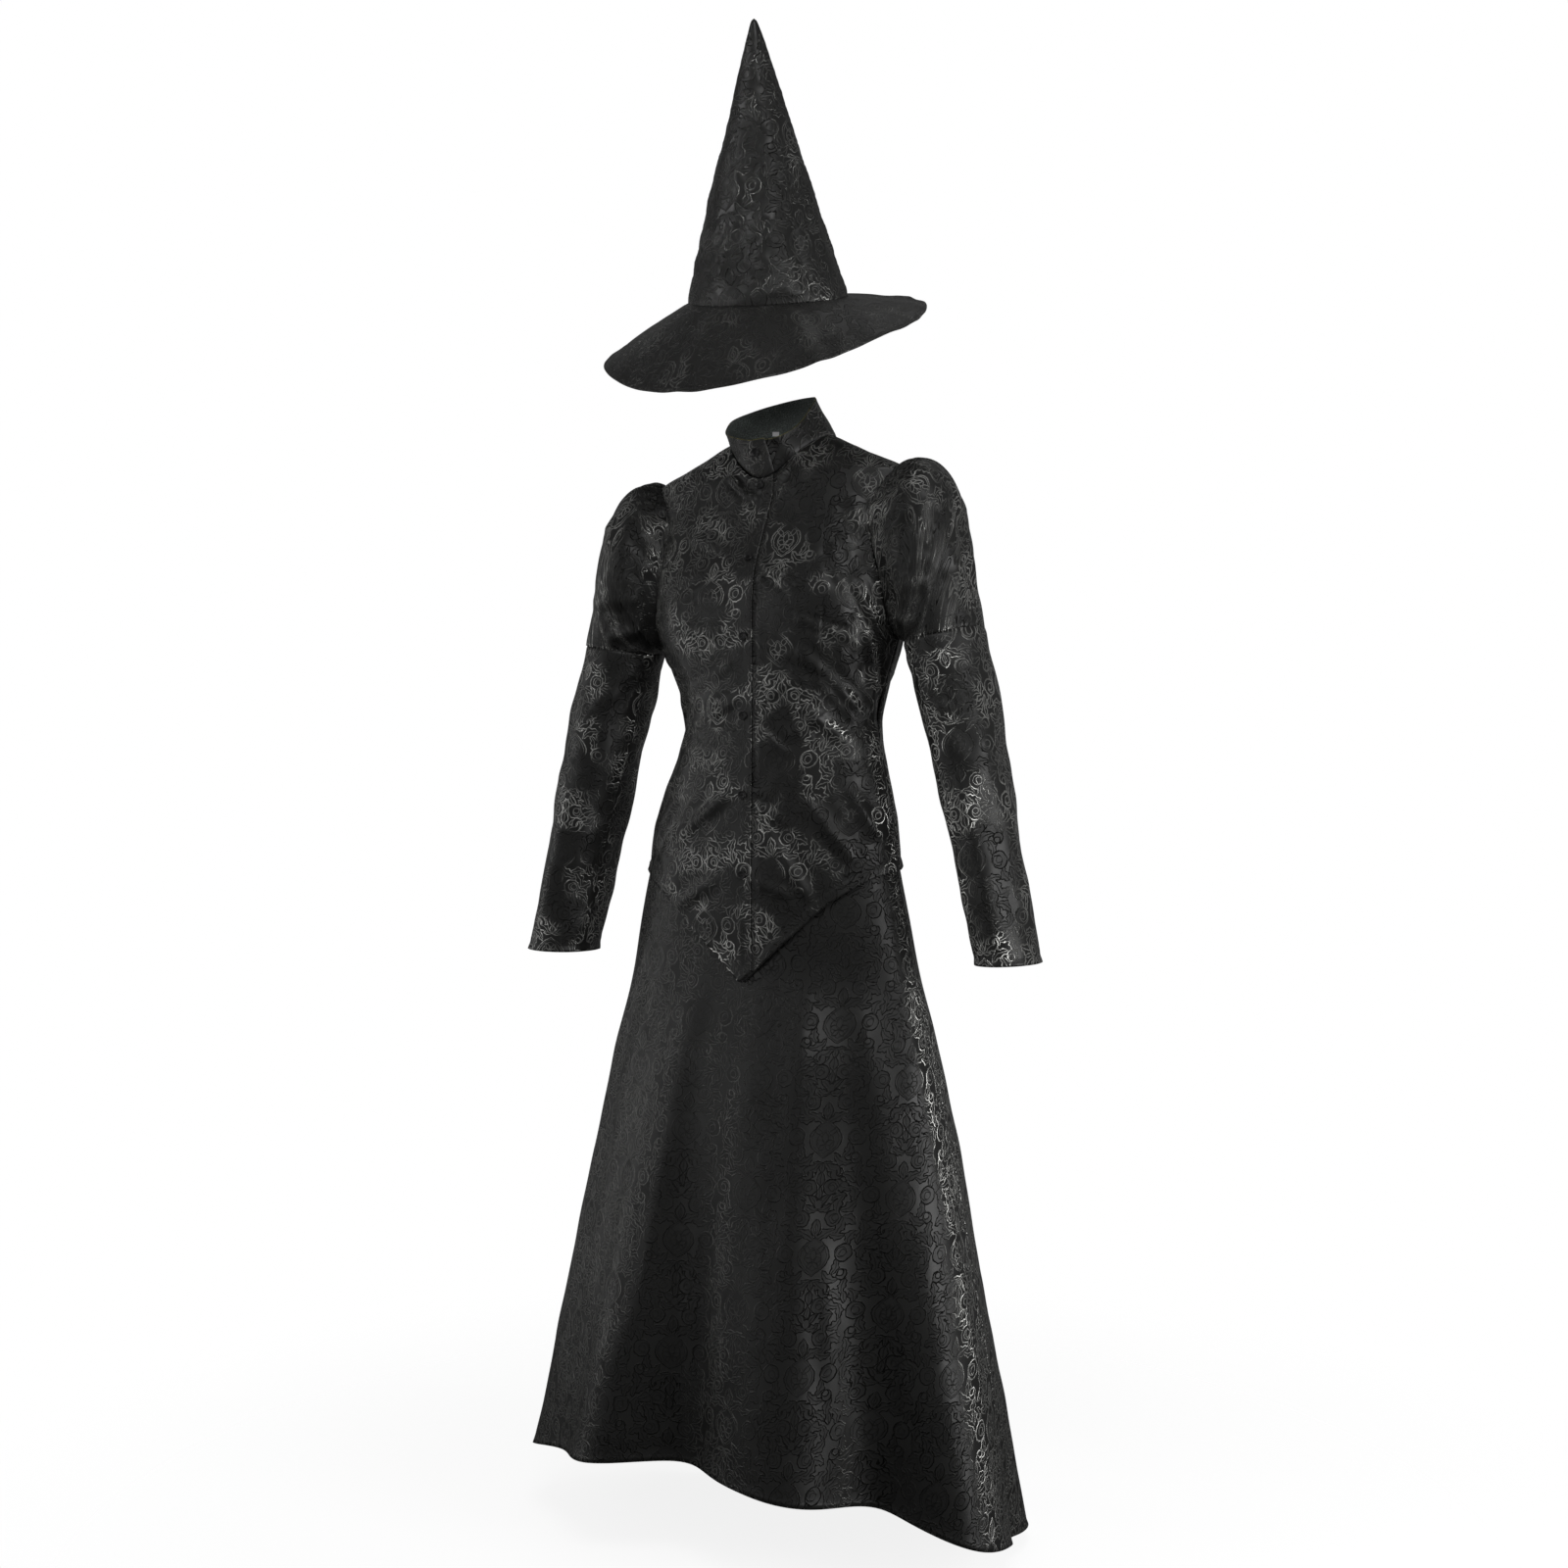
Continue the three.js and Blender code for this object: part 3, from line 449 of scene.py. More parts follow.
def round_form(angle, z):
    """Distance along the form from the centre front, at one height."""
    a = np.clip((angle - CUT_ANGLES[0]) / CUT_STEP["angle"], 0, len(CUT_ANGLES) - 1.001)
    h = np.clip((z - CUT_HEIGHTS[0]) / CUT_STEP["height"], 0, len(CUT_HEIGHTS) - 1.001)
    i, j = a.astype(int), h.astype(int)
    s, t = a - i, h - j
    low = mix(CUT_ROUND[j, i], CUT_ROUND[j, i + 1], s)
    high = mix(CUT_ROUND[j + 1, i], CUT_ROUND[j + 1, i + 1], s)
    return mix(low, high, t)


print("skirt hem round the front:", round(float(round_form(np.array(0.0), np.array(-1340.0)))))

# %% [markdown]
# ## Jacket fronts
# The wearer's right front laps over the left one, and both end in one deep point. A dart from the
# bust down to the hip and another from the side seam shape each front, and satin drags between
# them in sharp little folds. Such folds could be brushed in by hand, but then nobody could change
# one alone. Here each fold is one row: where it starts and ends on the form, how wide it is and how
# far it rises. A negative rise is a trough.

# %% Folds and darts of the fronts
FRONT_FOLDS = table(
    "from_angle from_z to_angle to_z width rise",
    (-54, -150, -25, -250, 6, 5.2),
    (-66, -240, -38, -268, 5, 3.2),
    (-30, -260, -10, -330, 6, 3.6),
    (-50, -182, -22, -282, 5, 3.4),
    (-62, -170, -34, -292, 6, -3.0),
    (-40, -196, -18, -268, 6, 3.6),
    (-64, -278, -24, -352, 7, 4.6),
    (-56, -312, -22, -376, 5, 3.0),
    (-60, -352, -30, -398, 7, 3.4),
    (-40, -330, -14, -372, 7, 2.6),
    (-68, -390, -40, -352, 6, 2.4),
    (-84, -168, -66, -206, 5, 3.4),
    (-87, -190, -70, -182, 5, 2.6),
    (-86, -262, -64, -296, 5, 2.8),
    (-84, -350, -64, -314, 5, 2.6),
    (-86, -374, -66, -412, 5, 2.6),
    (-36, -450, -18, -520, 8, 2.8),
    (-58, -470, -36, -545, 9, 3.0),
    (-78, -500, -58, -596, 7, 3.2),
    (-84, -470, -66, -500, 6, 2.4),
    (-84, -566, -66, -590, 6, 2.4),
    (-20, -300, -6, -386, 8, 3.0),
    (-26, -110, -17, -205, 8, 4.0),
    (-34, -90, -22, -180, 7, 2.6),
    (-48, -86, -30, -160, 9, 2.2),
    (-95, -172, -128, -222, 6, 3.8),
    (-98, -214, -142, -192, 7, 3.4),
    (-100, -150, -124, -126, 7, 2.6),
    (-95, -262, -130, -248, 5, 3.2),
    (-97, -298, -140, -334, 6, 3.6),
    (-95, -340, -124, -368, 6, 3.2),
    (-97, -384, -140, -366, 6, 3.0),
    (-104, -430, -150, -392, 7, 3.0),
    (-96, -460, -126, -524, 8, 3.2),
    (-130, -460, -150, -540, 8, 3.0),
    (-97, -566, -122, -610, 8, 2.8),
    (-152, -220, -172, -300, 7, 3.4),
    (-146, -110, -160, -190, 8, 3.0),
    (-150, -330, -172, -380, 7, 2.8),
    (-106, -50, -91, -88, 4, 4.4),
    (-76, -44, -89, -88, 4, 4.4),
    (-98, -62, -91, -100, 3, -2.4),
    (-82, -56, -87, -96, 3, -2.4),
)
DARTS = table(
    "from_angle from_z to_angle to_z",
    (-53, -224, -52, -408),
    (-127, -262, -130, -420),
    (-42, -240, -6, -286),
    (-138, -240, -174, -286),
)
FOLD_DEPTH = 1.45
DART = {"groove": 2.8, "groove_width": 2.8, "swell": 1.4, "swell_width": 8}
DART_STITCH = 3
print("folds:", len(FRONT_FOLDS["rise"]), "darts:", len(DARTS["from_z"]))


# %% Darts and hem, the same on fronts and back
def dart_rise(points, darts):
    """Cloth dips along a dart, swells a little beside it and runs out smoothly at its ends."""
    rise = 0
    for row in zip(*darts.values()):
        away, along = away_from_line(points, form(*row[:2]), form(*row[2:]))
        fade = np.clip(12 * np.minimum(along, 1 - along), 0, 1)
        swell_here = DART["swell"] * np.exp(-((away / DART["swell_width"]) ** 2))
        groove = DART["groove"] * np.exp(-((away / DART["groove_width"]) ** 2))
        rise = rise + fade * (swell_here - groove)
    return rise


JACKET_BAND = 13.0
HEM_TUCK = {"depth": 4.2, "reach": 70, "deepest": -5.2, "over_waistband": 20}


def tucked_hem(rise, hem_near, z):
    """The hem leans in towards the skirt, and stays clear of it."""
    rise = rise - HEM_TUCK["depth"] * (1 - smoothstep(hem_near, 0, HEM_TUCK["reach"]))
    over_skirt = z < WAISTBAND["top"] + HEM_TUCK["over_waistband"]
    return np.where(over_skirt, np.maximum(rise, HEM_TUCK["deepest"]), rise)


def jacket_edges(points, darts, hem_near, cut):
    """Stitches along the hem band and along the nearest dart."""
    to_darts = [away_from_line(points, form(*row[:2]), form(*row[2:]))[0] for row in zip(*darts.values())]
    to_dart = np.min(to_darts, axis=0)
    to_band = hem_near - JACKET_BAND
    near = HEM_STITCH_AT + np.where(to_dart < DART_STITCH, to_dart, to_band)
    return edges(near, cut[..., 0] + cut[..., 1])


print("hem band of the jacket:", JACKET_BAND, "mm")

# %% Lay the two fronts
FRONT_ROWS = {"lower": 9, "to_pit": 5, "neck": 6}
ARMHOLE_ROWS = FRONT_ROWS["to_pit"] + 1 + FRONT_ROWS["neck"]
NECK_TURN_PER_ROW = 15
OVER_PIT_X = 18
FRONT_WIDTH = 250
FRONT_LAP = {"kept": 0.3, "pressed": 1.7, "width": 13}
EDGE_FLAT = {"kept": 0.15, "from": 10, "to": 26}


def front_place(side, across, row):
    """Angle and height on the form, worked out as the wearer's left front."""
    over = side < 0

    def edge_angle(z):
        if over:
            return -180 - angle_at_x(front_edge(z), z)
        return angle_at_x(-UNDER_EDGE_X, z)

    pit_x = OVER_PIT_X if over else UNDER_EDGE_X
    pit_turn = -90 - math.degrees(math.asin(pit_x / NECK["half_width"]))
    pit_z = float(neck_place(pit_turn)[1])
    under = float(ARMHOLE["under_z"])
    start_angle = mix(edge_angle(under), 0, across)
    hem_z = jacket_hem(np.where(start_angle < -90, -180 - start_angle, start_angle))
    low_z = mix(hem_z, under, np.clip(row / FRONT_ROWS["lower"], 0, 1))
    low_angle = mix(edge_angle(low_z), -seam_turn(low_z), across)
    high_row = np.clip(row - FRONT_ROWS["lower"], 0, ARMHOLE_ROWS)
    climb = mix(under, pit_z, np.clip(high_row / FRONT_ROWS["to_pit"], 0, 1))
    past = np.clip(high_row - FRONT_ROWS["to_pit"], 0, FRONT_ROWS["neck"] + 1)
    neck_turn = np.where(past < 1, mix(pit_turn, -90, past), -90 + NECK_TURN_PER_ROW * (past - 1))
    neck_angle, neck_z = neck_place(neck_turn)
    from_neck = past > 0
    begin_angle = np.where(from_neck, neck_angle, edge_angle(climb))
    begin_z = np.where(from_neck, neck_z, climb)
    end_angle, end_z = armhole_place(mix(270, 90, high_row / ARMHOLE_ROWS))
    high_z = mix(begin_z, end_z, across)
    high_angle = np.minimum(mix(begin_angle, end_angle, across), -seam_turn(high_z))
    low = row <= FRONT_ROWS["lower"]
    return np.where(low, low_angle, high_angle), np.where(low, low_z, high_z)


def lay_front(side):
    def lay(u, v):
        across = u if side > 0 else 1 - u
        row = v * (FRONT_ROWS["lower"] + ARMHOLE_ROWS)
        angle, z = front_place(side, across, row)
        true_angle = angle if side > 0 else -180 - angle
        points = form(true_angle, z)
        normals = form_normal(true_angle, z)
        cut = np.stack([round_form(true_angle, z), z], axis=-1)
        hem_slope = np.gradient(z[:1], axis=1) / np.gradient(cut[:1, :, 0], axis=1)
        hem_near = (z - z[:1]) / np.hypot(1, hem_slope)
        rise = ripple(points, 95, 1.3) + ripple(points, 38, 0.5, 2.0)
        rise = rise + folds_rise(points, FRONT_FOLDS, form, FOLD_DEPTH) + dart_rise(points, DARTS)
        rise = rise + seam_dip((1 - across) * FRONT_WIDTH) + hem_band(hem_near, JACKET_BAND)
        if side > 0:
            lap = 1 - smoothstep(points[..., 0], front_edge(z) + 0.5, front_edge(z) + FRONT_LAP["width"])
            rise = mix(rise, FRONT_LAP["kept"] * rise, lap) - FRONT_LAP["pressed"] * lap
        else:
            edge_near = np.abs(points[..., 0] - front_edge(z))
            away = smoothstep(edge_near, EDGE_FLAT["from"], EDGE_FLAT["to"])
            rise = rise * mix(EDGE_FLAT["kept"], 1, away)
        rise = tucked_hem(rise, hem_near, z)
        stitches = jacket_edges(points, DARTS, hem_near, cut)
        return points + normals * rise[..., None], cut, stitches

    return lay


front_left = cloth_panel("front_left_cloth", (130, 230), lay_front(1))
front_right = cloth_panel("front_right_cloth", (130, 230), lay_front(-1))

# %% [markdown]
# ## Jacket back
# The back is one piece between the side seams, the armholes, the shoulders and the neck. Cut out of
# a tube it would need trimming at four curved borders. So its grid is a Coons patch: its borders
# are blended into each other, and every border lies where the neighbouring piece ends. The back
# doesn't show in the photo, so it gets the same kind of waist darts and drag folds as the front.

# %% Lay the back
BACK = {"shoulder": 5, "neck": 6, "lower": 6}
BACK_WIDTH = 480
BACK_FOLDS = table(
    "from_angle from_z to_angle to_z width rise",
    (20, -150, 48, -240, 9, 2.6),
    (160, -150, 134, -236, 9, 2.6),
    (26, -300, 66, -352, 8, 2.8),
    (154, -296, 118, -356, 8, 2.8),
    (30, -392, 70, -372, 8, 2.4),
    (150, -404, 112, -378, 8, 2.4),
    (72, -330, 108, -344, 8, 1.8),
    (40, -450, 52, -530, 10, 2.2),
    (128, -450, 140, -528, 10, 2.2),
    (78, -90, 84, -190, 12, 1.8),
    (102, -100, 96, -200, 12, 1.8),
    (12, -230, 30, -330, 8, 2.2),
    (168, -230, 150, -330, 8, 2.2),
)
BACK_DARTS = table(
    "from_angle from_z to_angle to_z",
    (58, -250, 58, -500),
    (122, -250, 122, -500),
)


def lay_back(u, v):
    half = BACK["shoulder"] + BACK["neck"]
    column = np.minimum(u, 1 - u) * 2 * half
    row = v * (BACK["lower"] + ARMHOLE_ROWS)
    shoulder_angle, shoulder_z = armhole_place(90.0)
    side_angle, side_z = neck_place(0.0)
    step = np.clip(column / BACK["shoulder"], 0, 1)
    neck_angle, neck_z = neck_place(90 * np.clip((column - BACK["shoulder"]) / BACK["neck"], 0, 1))
    on_shoulder = column < BACK["shoulder"]
    top_angle = np.where(on_shoulder, mix(shoulder_angle, side_angle, step), neck_angle)
    top_z = np.where(on_shoulder, mix(shoulder_z, side_z, step), neck_z)
    mirror = u > 0.5
    top_angle = np.where(mirror, 180 - top_angle, top_angle)
    height = np.clip((row - BACK["lower"]) / ARMHOLE_ROWS, 0, 1)
    edge_angle, edge_z = armhole_place(mix(-90, 90, height))
    low_corner, high_corner = armhole_place(-90.0), armhole_place(90.0)

    def patch(level, top, edge, edge_far, corner, corner_far):
        rows = mix(level, top, height)
        sides = mix(edge, edge_far, u)
        corners = mix(mix(corner[0], corner[1], height), mix(corner_far[0], corner_far[1], height), u)
        return rows + sides - corners

    corner = (low_corner[0], high_corner[0])
    corner_far = (180 - low_corner[0], 180 - high_corner[0])
    high_angle = patch(180 * u, top_angle, edge_angle, 180 - edge_angle, corner, corner_far)
    corner = (low_corner[1], high_corner[1])
    high_z = patch(float(ARMHOLE["under_z"]), top_z, edge_z, edge_z, corner, corner)
    low_angle = 180 * u
    hem_z = jacket_hem(np.minimum(low_angle, 180 - low_angle))
    low_z = mix(hem_z, float(ARMHOLE["under_z"]), np.clip(row / BACK["lower"], 0, 1))
    low = row <= BACK["lower"]
    z = np.where(low, low_z, high_z)
    angle = np.where(low, low_angle, high_angle)
    gap = seam_turn(z)
    angle = np.clip(angle, gap, 180 - gap)
    points = form(angle, z)
    cut = np.stack([round_form(angle, z), z], axis=-1)
    hem_near = z - z[:1]
    rise = ripple(points, 105, 1.5, 1.0) + ripple(points, 41, 0.4)
    rise = rise + folds_rise(points, BACK_FOLDS, form, FOLD_DEPTH) + dart_rise(points, BACK_DARTS)
    rise = rise + seam_dip(np.minimum(u, 1 - u) * BACK_WIDTH) + hem_band(hem_near, JACKET_BAND)
    rise = tucked_hem(rise, hem_near, z)
    stitches = jacket_edges(points, BACK_DARTS, hem_near, cut)
    return points + form_normal(angle, z) * rise[..., None], cut, stitches


back = cloth_panel("back_cloth", (130, 140), lay_back)

# %% [markdown]
# ## Skirt
# Two flared halves hang from the waistband in flutes that open towards the hem. The flutes belong
# to the worn form, because they carry the outline. So the shell adds only fine drag lines from the
# hips, a pressed hem and the side seams, where the front half laps a little over the back one.

# %% Lay the skirt
SKIRT_FOLDS = table(
    "from_angle from_z to_angle to_z width rise",
    (-62, -640, -66, -1180, 16, 3.0),
    (-80, -690, -84, -1230, 15, 2.6),
    (-104, -640, -108, -1120, 16, 3.0),
    (-128, -600, -132, -1240, 18, 3.4),
    (-150, -580, -156, -1180, 18, 3.0),
    (-40, -600, -38, -1190, 16, 3.2),
    (-22, -590, -14, -1240, 18, 3.4),
    (-58, -980, -54, -1290, 12, 2.4),
    (-96, -980, -94, -1270, 12, 2.4),
    (12, -590, 18, -1280, 18, 3.2),
    (42, -600, 44, -1220, 18, 3.4),
    (70, -600, 74, -1330, 17, 3.0),
    (98, -590, 100, -1240, 18, 3.4),
    (126, -600, 130, -1300, 18, 3.0),
    (154, -590, 158, -1240, 18, 3.2),
)


def skirt_base(angle, z):
    return form(angle, z) - form_normal(angle, z) * SKIRT_INSET


SKIRT_SEAMS = {"front": {"past": 0.4, "dip": 2.6}, "back": {"past": -0.06, "dip": 1.0}}
SKIRT_SLANT = 1.04
SKIRT_HALF_ROUND = math.pi * 300
SKIRT_HEM_BAND = 8


def lay_skirt(first, seams):
    def lay(u, v):
        top = WAISTBAND["bottom"] - SEAM_GAP
        angle = first - seams["past"] + (180 + 2 * seams["past"]) * u
        hem = skirt_hem(angle)
        z = mix(hem, top, v)
        points = skirt_base(angle, z)
        normals = form_normal(angle, z)
        rise = (ripple(points, 240, 1.6) + ripple(points, 90, 0.7, 1.3)) * smoothstep(-z, 640, 800)
        rise = rise + folds_rise(points, SKIRT_FOLDS, skirt_base) * smoothstep(-z, 600, 760)
        hem_near = (z - hem) * SKIRT_SLANT
        seam_near = np.minimum(u, 1 - u) * SKIRT_HALF_ROUND
        rise = rise + seam_dip(seam_near, seams["dip"]) + hem_band(hem_near, SKIRT_HEM_BAND)
        cut = np.stack([round_form(angle, z), z * SKIRT_SLANT], axis=-1)
        return points + normals * rise[..., None], cut, edges(hem_near, cut[..., 0])

    return lay


skirt_front = cloth_panel(
    "skirt_front_cloth", (180, 170), lay_skirt(-180.0, SKIRT_SEAMS["front"]), wall=CLOTH["skirt"]
)
skirt_back = cloth_panel(
    "skirt_back_cloth", (150, 160), lay_skirt(0.0, SKIRT_SEAMS["back"]), wall=CLOTH["skirt"]
)

# %% Lay the waistband
WAISTBAND_SWELL = {"rise": 0.6, "within": 4}


def lay_waistband(u, v):
    angle = -90 + 360 * u
    z = mix(WAISTBAND["bottom"], WAISTBAND["top"], v)
    near = np.minimum(v, 1 - v) * (WAISTBAND["top"] - WAISTBAND["bottom"])
    rise = WAISTBAND_SWELL["rise"] * smoothstep(near, 0, WAISTBAND_SWELL["within"])
    points = skirt_base(angle, z) + form_normal(angle, z) * rise[..., None]
    cut = np.stack([arc_lengths(points, 1), z], axis=-1)
    return points, cut, edges(near, cut[..., 0])


waistband = cloth_panel(
    "waistband_cloth", (160, 10), lay_waistband, closed=True, wall=CLOTH["waistband"]
)

# %% [markdown]
# ## Stand collar
# The collar stands up from the neckline, high at the back, and its right end laps over the left
# one in front, held by one button. It could be extruded from the neckline, but its rim is a second,
# smaller oval. So the grid runs straight from one oval to the other, and its right end steps out
# over the left one. A narrow piping shows as a thin olive line along its rim.

# %% Lay the collar
COLLAR = {"top_x": -10, "top_y": -18, "half_width": 59, "half_depth": 56}
COLLAR_RIM = table(
    "at z",
    (-101, -8), (-60, -8), (-40, 0), (-20, 15), (0, 36), (25, 52), (60, 60), (90, 60),
    (120, 54), (150, 43), (180, 29), (210, 10), (240, -1), (270, -9), (288, -8),
)
COLLAR_ENDS = {"under": -101, "over": 288, "lap_from": -66, "lap_turn": 14, "slant": 6}
COLLAR_GAP = SEAM_GAP + 0.2
collar_rim = smooth_line(*COLLAR_RIM.values())


def neck_points(turn):
    angle, z = neck_place(turn)
    return form(angle, z)


def collar_points(turn, up):
    base = neck_points(turn) + np.array([0, 0, COLLAR_GAP])
    rim = np.stack(
        [
            COLLAR["top_x"] + COLLAR["half_width"] * cos_deg(turn),
            COLLAR["top_y"] + COLLAR["half_depth"] * sin_deg(turn),
            collar_rim(turn),
        ],
        axis=-1,
    )
    lap_from = COLLAR_ENDS["lap_from"]
    lap = 1 - smoothstep(turn, lap_from, lap_from + COLLAR_ENDS["lap_turn"])
    inward = np.stack([-cos_deg(turn), -sin_deg(turn), 0 * turn], axis=-1)
    return mix(base, rim, up[..., None]) + inward * (LAP_STEP * lap)[..., None]


def collar_normal(turn, up):
    across = collar_points(turn + 1, up) - collar_points(turn - 1, up)
    rise = collar_points(turn, up + 0.05) - collar_points(turn, up - 0.05)
    return unit(np.cross(across, rise))


def lay_collar(u, v):
    turn = mix(COLLAR_ENDS["under"], COLLAR_ENDS["over"], u)
    turn = turn + COLLAR_ENDS["slant"] * (v - 0.5) * u**8
    points = collar_points(turn, v)
    length = arc_lengths(points, 1)
    high = arc_lengths(points, 0)
    from_rim = high[-1:] - high
    rim_roll = 0.5 * np.exp(-(((from_rim - 1.5) / 2) ** 2))
    foot_groove = 1.0 * np.exp(-((high / 3) ** 2))
    ends = np.minimum(length, length[:, -1:] - length)
    rise = (ripple(points, 44, 0.8) + rim_roll - foot_groove) * smoothstep(ends, 0, 20)
    points = points + collar_normal(turn, v) * rise[..., None]
    cut = np.stack([length, high], axis=-1)
    return points, cut, edges(from_rim, length)


collar = cloth_panel("collar_cloth", (200, 30), lay_collar, wall=CLOTH["stiffened"])

# %% [markdown]
# ## Sleeves
# Each sleeve is two pieces: a puffed head gathered into the armhole, and a long straight tube
# below a seam at the elbow's height. Both are rings of points that follow the arm. A curve with a
# bevel would give round rings only, and these are ovals that also twist. The gathers are narrow
# ridges that start at the armhole seam and fade on the way down, each with its own height and
# reach. The right sleeve is laid out as a left one and mirrored.

# %% Sleeve tables
UPPER_SLEEVE = table(
    "ring out_x out_z in_x in_z mid_y half_depth twist",
    (0, 178, -50, 173, -266, -10, 41, 0),
    (1, 188, -45, 176, -267, -10, 50, 0),
    (2, 202, -43, 179, -268, -10, 58, 1),
    (3, 225, -51, 181, -269, -10, 64, 2),
    (4, 246, -70, 183, -270, -10, 66, 4),
    (5, 261, -105, 185, -271, -11, 66, 6),
    (6, 269, -150, 186, -272, -13, 63, 8),
    (7, 275, -196, 187, -273, -15, 60, 9),
    (8, 290, -257, 188, -274, -17, 56, 10),
)
LOWER_SLEEVE = table(
    "ring out_x out_z in_x in_z mid_y half_depth twist",
    (0, 290, -258, 188, -275, -17, 56, 10),
    (1, 308, -345, 211, -352, -19, 57, 12),
    (2, 328, -450, 239, -455, -23, 56, 14),
    (3, 350, -560, 266, -563, -28, 54, 16),
    (4, 371, -662, 290, -666, -32, 52, 17),
)
RIGHT_CUFF_DROP = 10
GATHERS = table(
    "at rise spread reach",
    (28, 3.0, 5.0, 3.0),
    (41, 4.2, 4.6, 4.0),
    (53, 3.4, 4.2, 3.2),
    (65, 5.0, 4.6, 5.0),
    (77, 3.8, 4.2, 3.6),
    (89, 5.4, 4.6, 5.4),
    (101, 4.0, 4.2, 3.8),
    (113, 5.2, 4.6, 5.2),
    (125, 3.6, 4.2, 3.4),
    (137, 4.6, 4.6, 4.6),
    (150, 3.2, 5.0, 3.0),
)


def sleeve_rings(rows, drop=0.0):
    """Ovals that follow the arm: 90 is the outer side, and `along` counts the table's rings."""
    rings = lines(rows, "ring")
    last = len(rows["ring"]) - 1

    def at(turn, along):
        lower = drop * along / last
        out_x, out_z = rings["out_x"](along), rings["out_z"](along) - lower
        in_x, in_z = rings["in_x"](along), rings["in_z"](along) - lower
        x = (out_x - in_x) / 2 * sin_deg(turn)
        y = rings["half_depth"](along) * cos_deg(turn)
        z = (out_z - in_z) / 2 * sin_deg(turn)
        c, s = cos_deg(rings["twist"](along)), sin_deg(rings["twist"](along))
        middle = np.stack([(out_x + in_x) / 2, rings["mid_y"](along), (out_z + in_z) / 2], axis=-1)
        return middle + np.stack([x * c - y * s, x * s + y * c, z], axis=-1)

    return at


upper_ring = sleeve_rings(UPPER_SLEEVE)
print("gathers:", len(GATHERS["at"]))

# %% Lay the sleeve heads
HEAD_FOLDS = table(
    "from_turn from_along to_turn to_along width rise",
    (172, 0.5, 128, 4.4, 7, 7.0),
    (160, 0.9, 116, 4.8, 6, -4.0),
    (184, 1.0, 150, 5.2, 7, 4.6),
    (204, 2.0, 168, 6.4, 8, 3.8),
    (146, 3.4, 116, 7.2, 9, 3.4),
    (100, 3.6, 86, 7.4, 10, 3.4),
    (126, 1.2, 104, 4.6, 7, 3.4),
    (60, 3.2, 50, 7.0, 9, 3.6),
    (78, 1.6, 70, 5.0, 7, 3.0),
    (24, 1.2, 50, 5.0, 7, 4.6),
    (6, 1.8, 26, 6.4, 8, 3.8),
    (230, 3.0, 196, 7.4, 8, 3.2),
    (318, 3.0, 344, 7.2, 8, 3.2),
    (190, 5.0, 120, 7.0, 8, 2.6),
)
HEAD_FOLD_DEPTH = 1.3
HEAD_RINGS = len(UPPER_SLEEVE["ring"]) - 1
HEAD_LENGTH = 215
HEAD_SEAM = {"inside": 0.9, "under": 1.0, "blend": 2.5}
ARMHOLE_MIDDLE = np.array([0, -5.0, -150.0])
FINE_GATHERS = {"count": 27, "rise": 1.5, "uneven": 40}


def sleeve_head_points(side, turn, along):
    angle, z = armhole_place(turn)
    start = form(np.where(side < 0, 180 - angle, angle), z) * np.array([side, 1, 1])
    inward = unit((ARMHOLE_MIDDLE - start) * np.array([0, 1, 1]))
    start = start + inward * HEAD_SEAM["inside"] - np.array([HEAD_SEAM["under"], 0, 0])
    blend = smoothstep(along, 0, HEAD_SEAM["blend"])[..., None]
    points = mix(start, upper_ring(turn, along), blend)
    wrapped = np.where(turn < -90, turn + 360, turn)
    rise = 0
    for at, high, spread, reach in zip(*GATHERS.values()):
        fade = 1 - smoothstep(along, 0.6, reach)
        rise = rise + high * np.exp(-(((wrapped - at) / spread) ** 2)) * fade
    rise = rise * smoothstep(along, 0, 0.9)
    outer, inner = (upper_ring(np.full(turn.shape, side_turn), along) for side_turn in (90.0, 270.0))
    return points + unit(points - (outer + inner) / 2) * rise[..., None]


def along_tube(points):
    """Flat cut of a tube: distance round it and along it."""
    length = arc_lengths(points, 0)
    return np.stack([arc_lengths(points, 1), -length], axis=-1)


def lay_sleeve_head(side):
    def lay(u, v):
        turn = -90 + 360 * u
        along = HEAD_RINGS * v**1.25
        points = sleeve_head_points(side, turn, along)
        on_head = one_place(lambda at_turn, at_along: sleeve_head_points(side, at_turn, at_along))
        uneven = FINE_GATHERS["uneven"] * sin_deg(3 * turn)
        fine = FINE_GATHERS["rise"] * sin_deg(FINE_GATHERS["count"] * turn + uneven)
        fine = fine * smoothstep(sin_deg(turn), -0.3, 0.4)
        fine = fine * smoothstep(along, 0, 0.5) * (1 - smoothstep(along, 1.0, 3.0))
        rise = ripple(points, 70, 1.6, side) * smoothstep(along, 0.5, 2) + fine
        rise = rise + folds_rise(points, HEAD_FOLDS, on_head, HEAD_FOLD_DEPTH)
        to_seam = (1 - v) * HEAD_LENGTH
        rise = rise - 0.5 * np.exp(-((to_seam / 2.5) ** 2))
        rise = rise * smoothstep(along, 0, 0.3)
        laid = points + tube_normals(points) * rise[..., None]
        cut = along_tube(points)
        return laid * np.array([side, 1, 1]), cut, edges(np.minimum(to_seam, along * 40), cut[..., 0])

    return lay


def turned_out(piece):
    """Normals of a mirrored tube face out again before its wall gets a thickness."""
    shell = bmesh.new()
    shell.from_mesh(piece.data)
    bmesh.ops.reverse_faces(shell, faces=shell.faces)
    shell.to_mesh(piece.data)
    shell.free()
    return piece


sleeve_upper_left = cloth_panel("sleeve_upper_left_cloth", (180, 80), lay_sleeve_head(1), closed=True)
sleeve_upper_right = turned_out(
    cloth_panel("sleeve_upper_right_cloth", (180, 80), lay_sleeve_head(-1), closed=True)
)

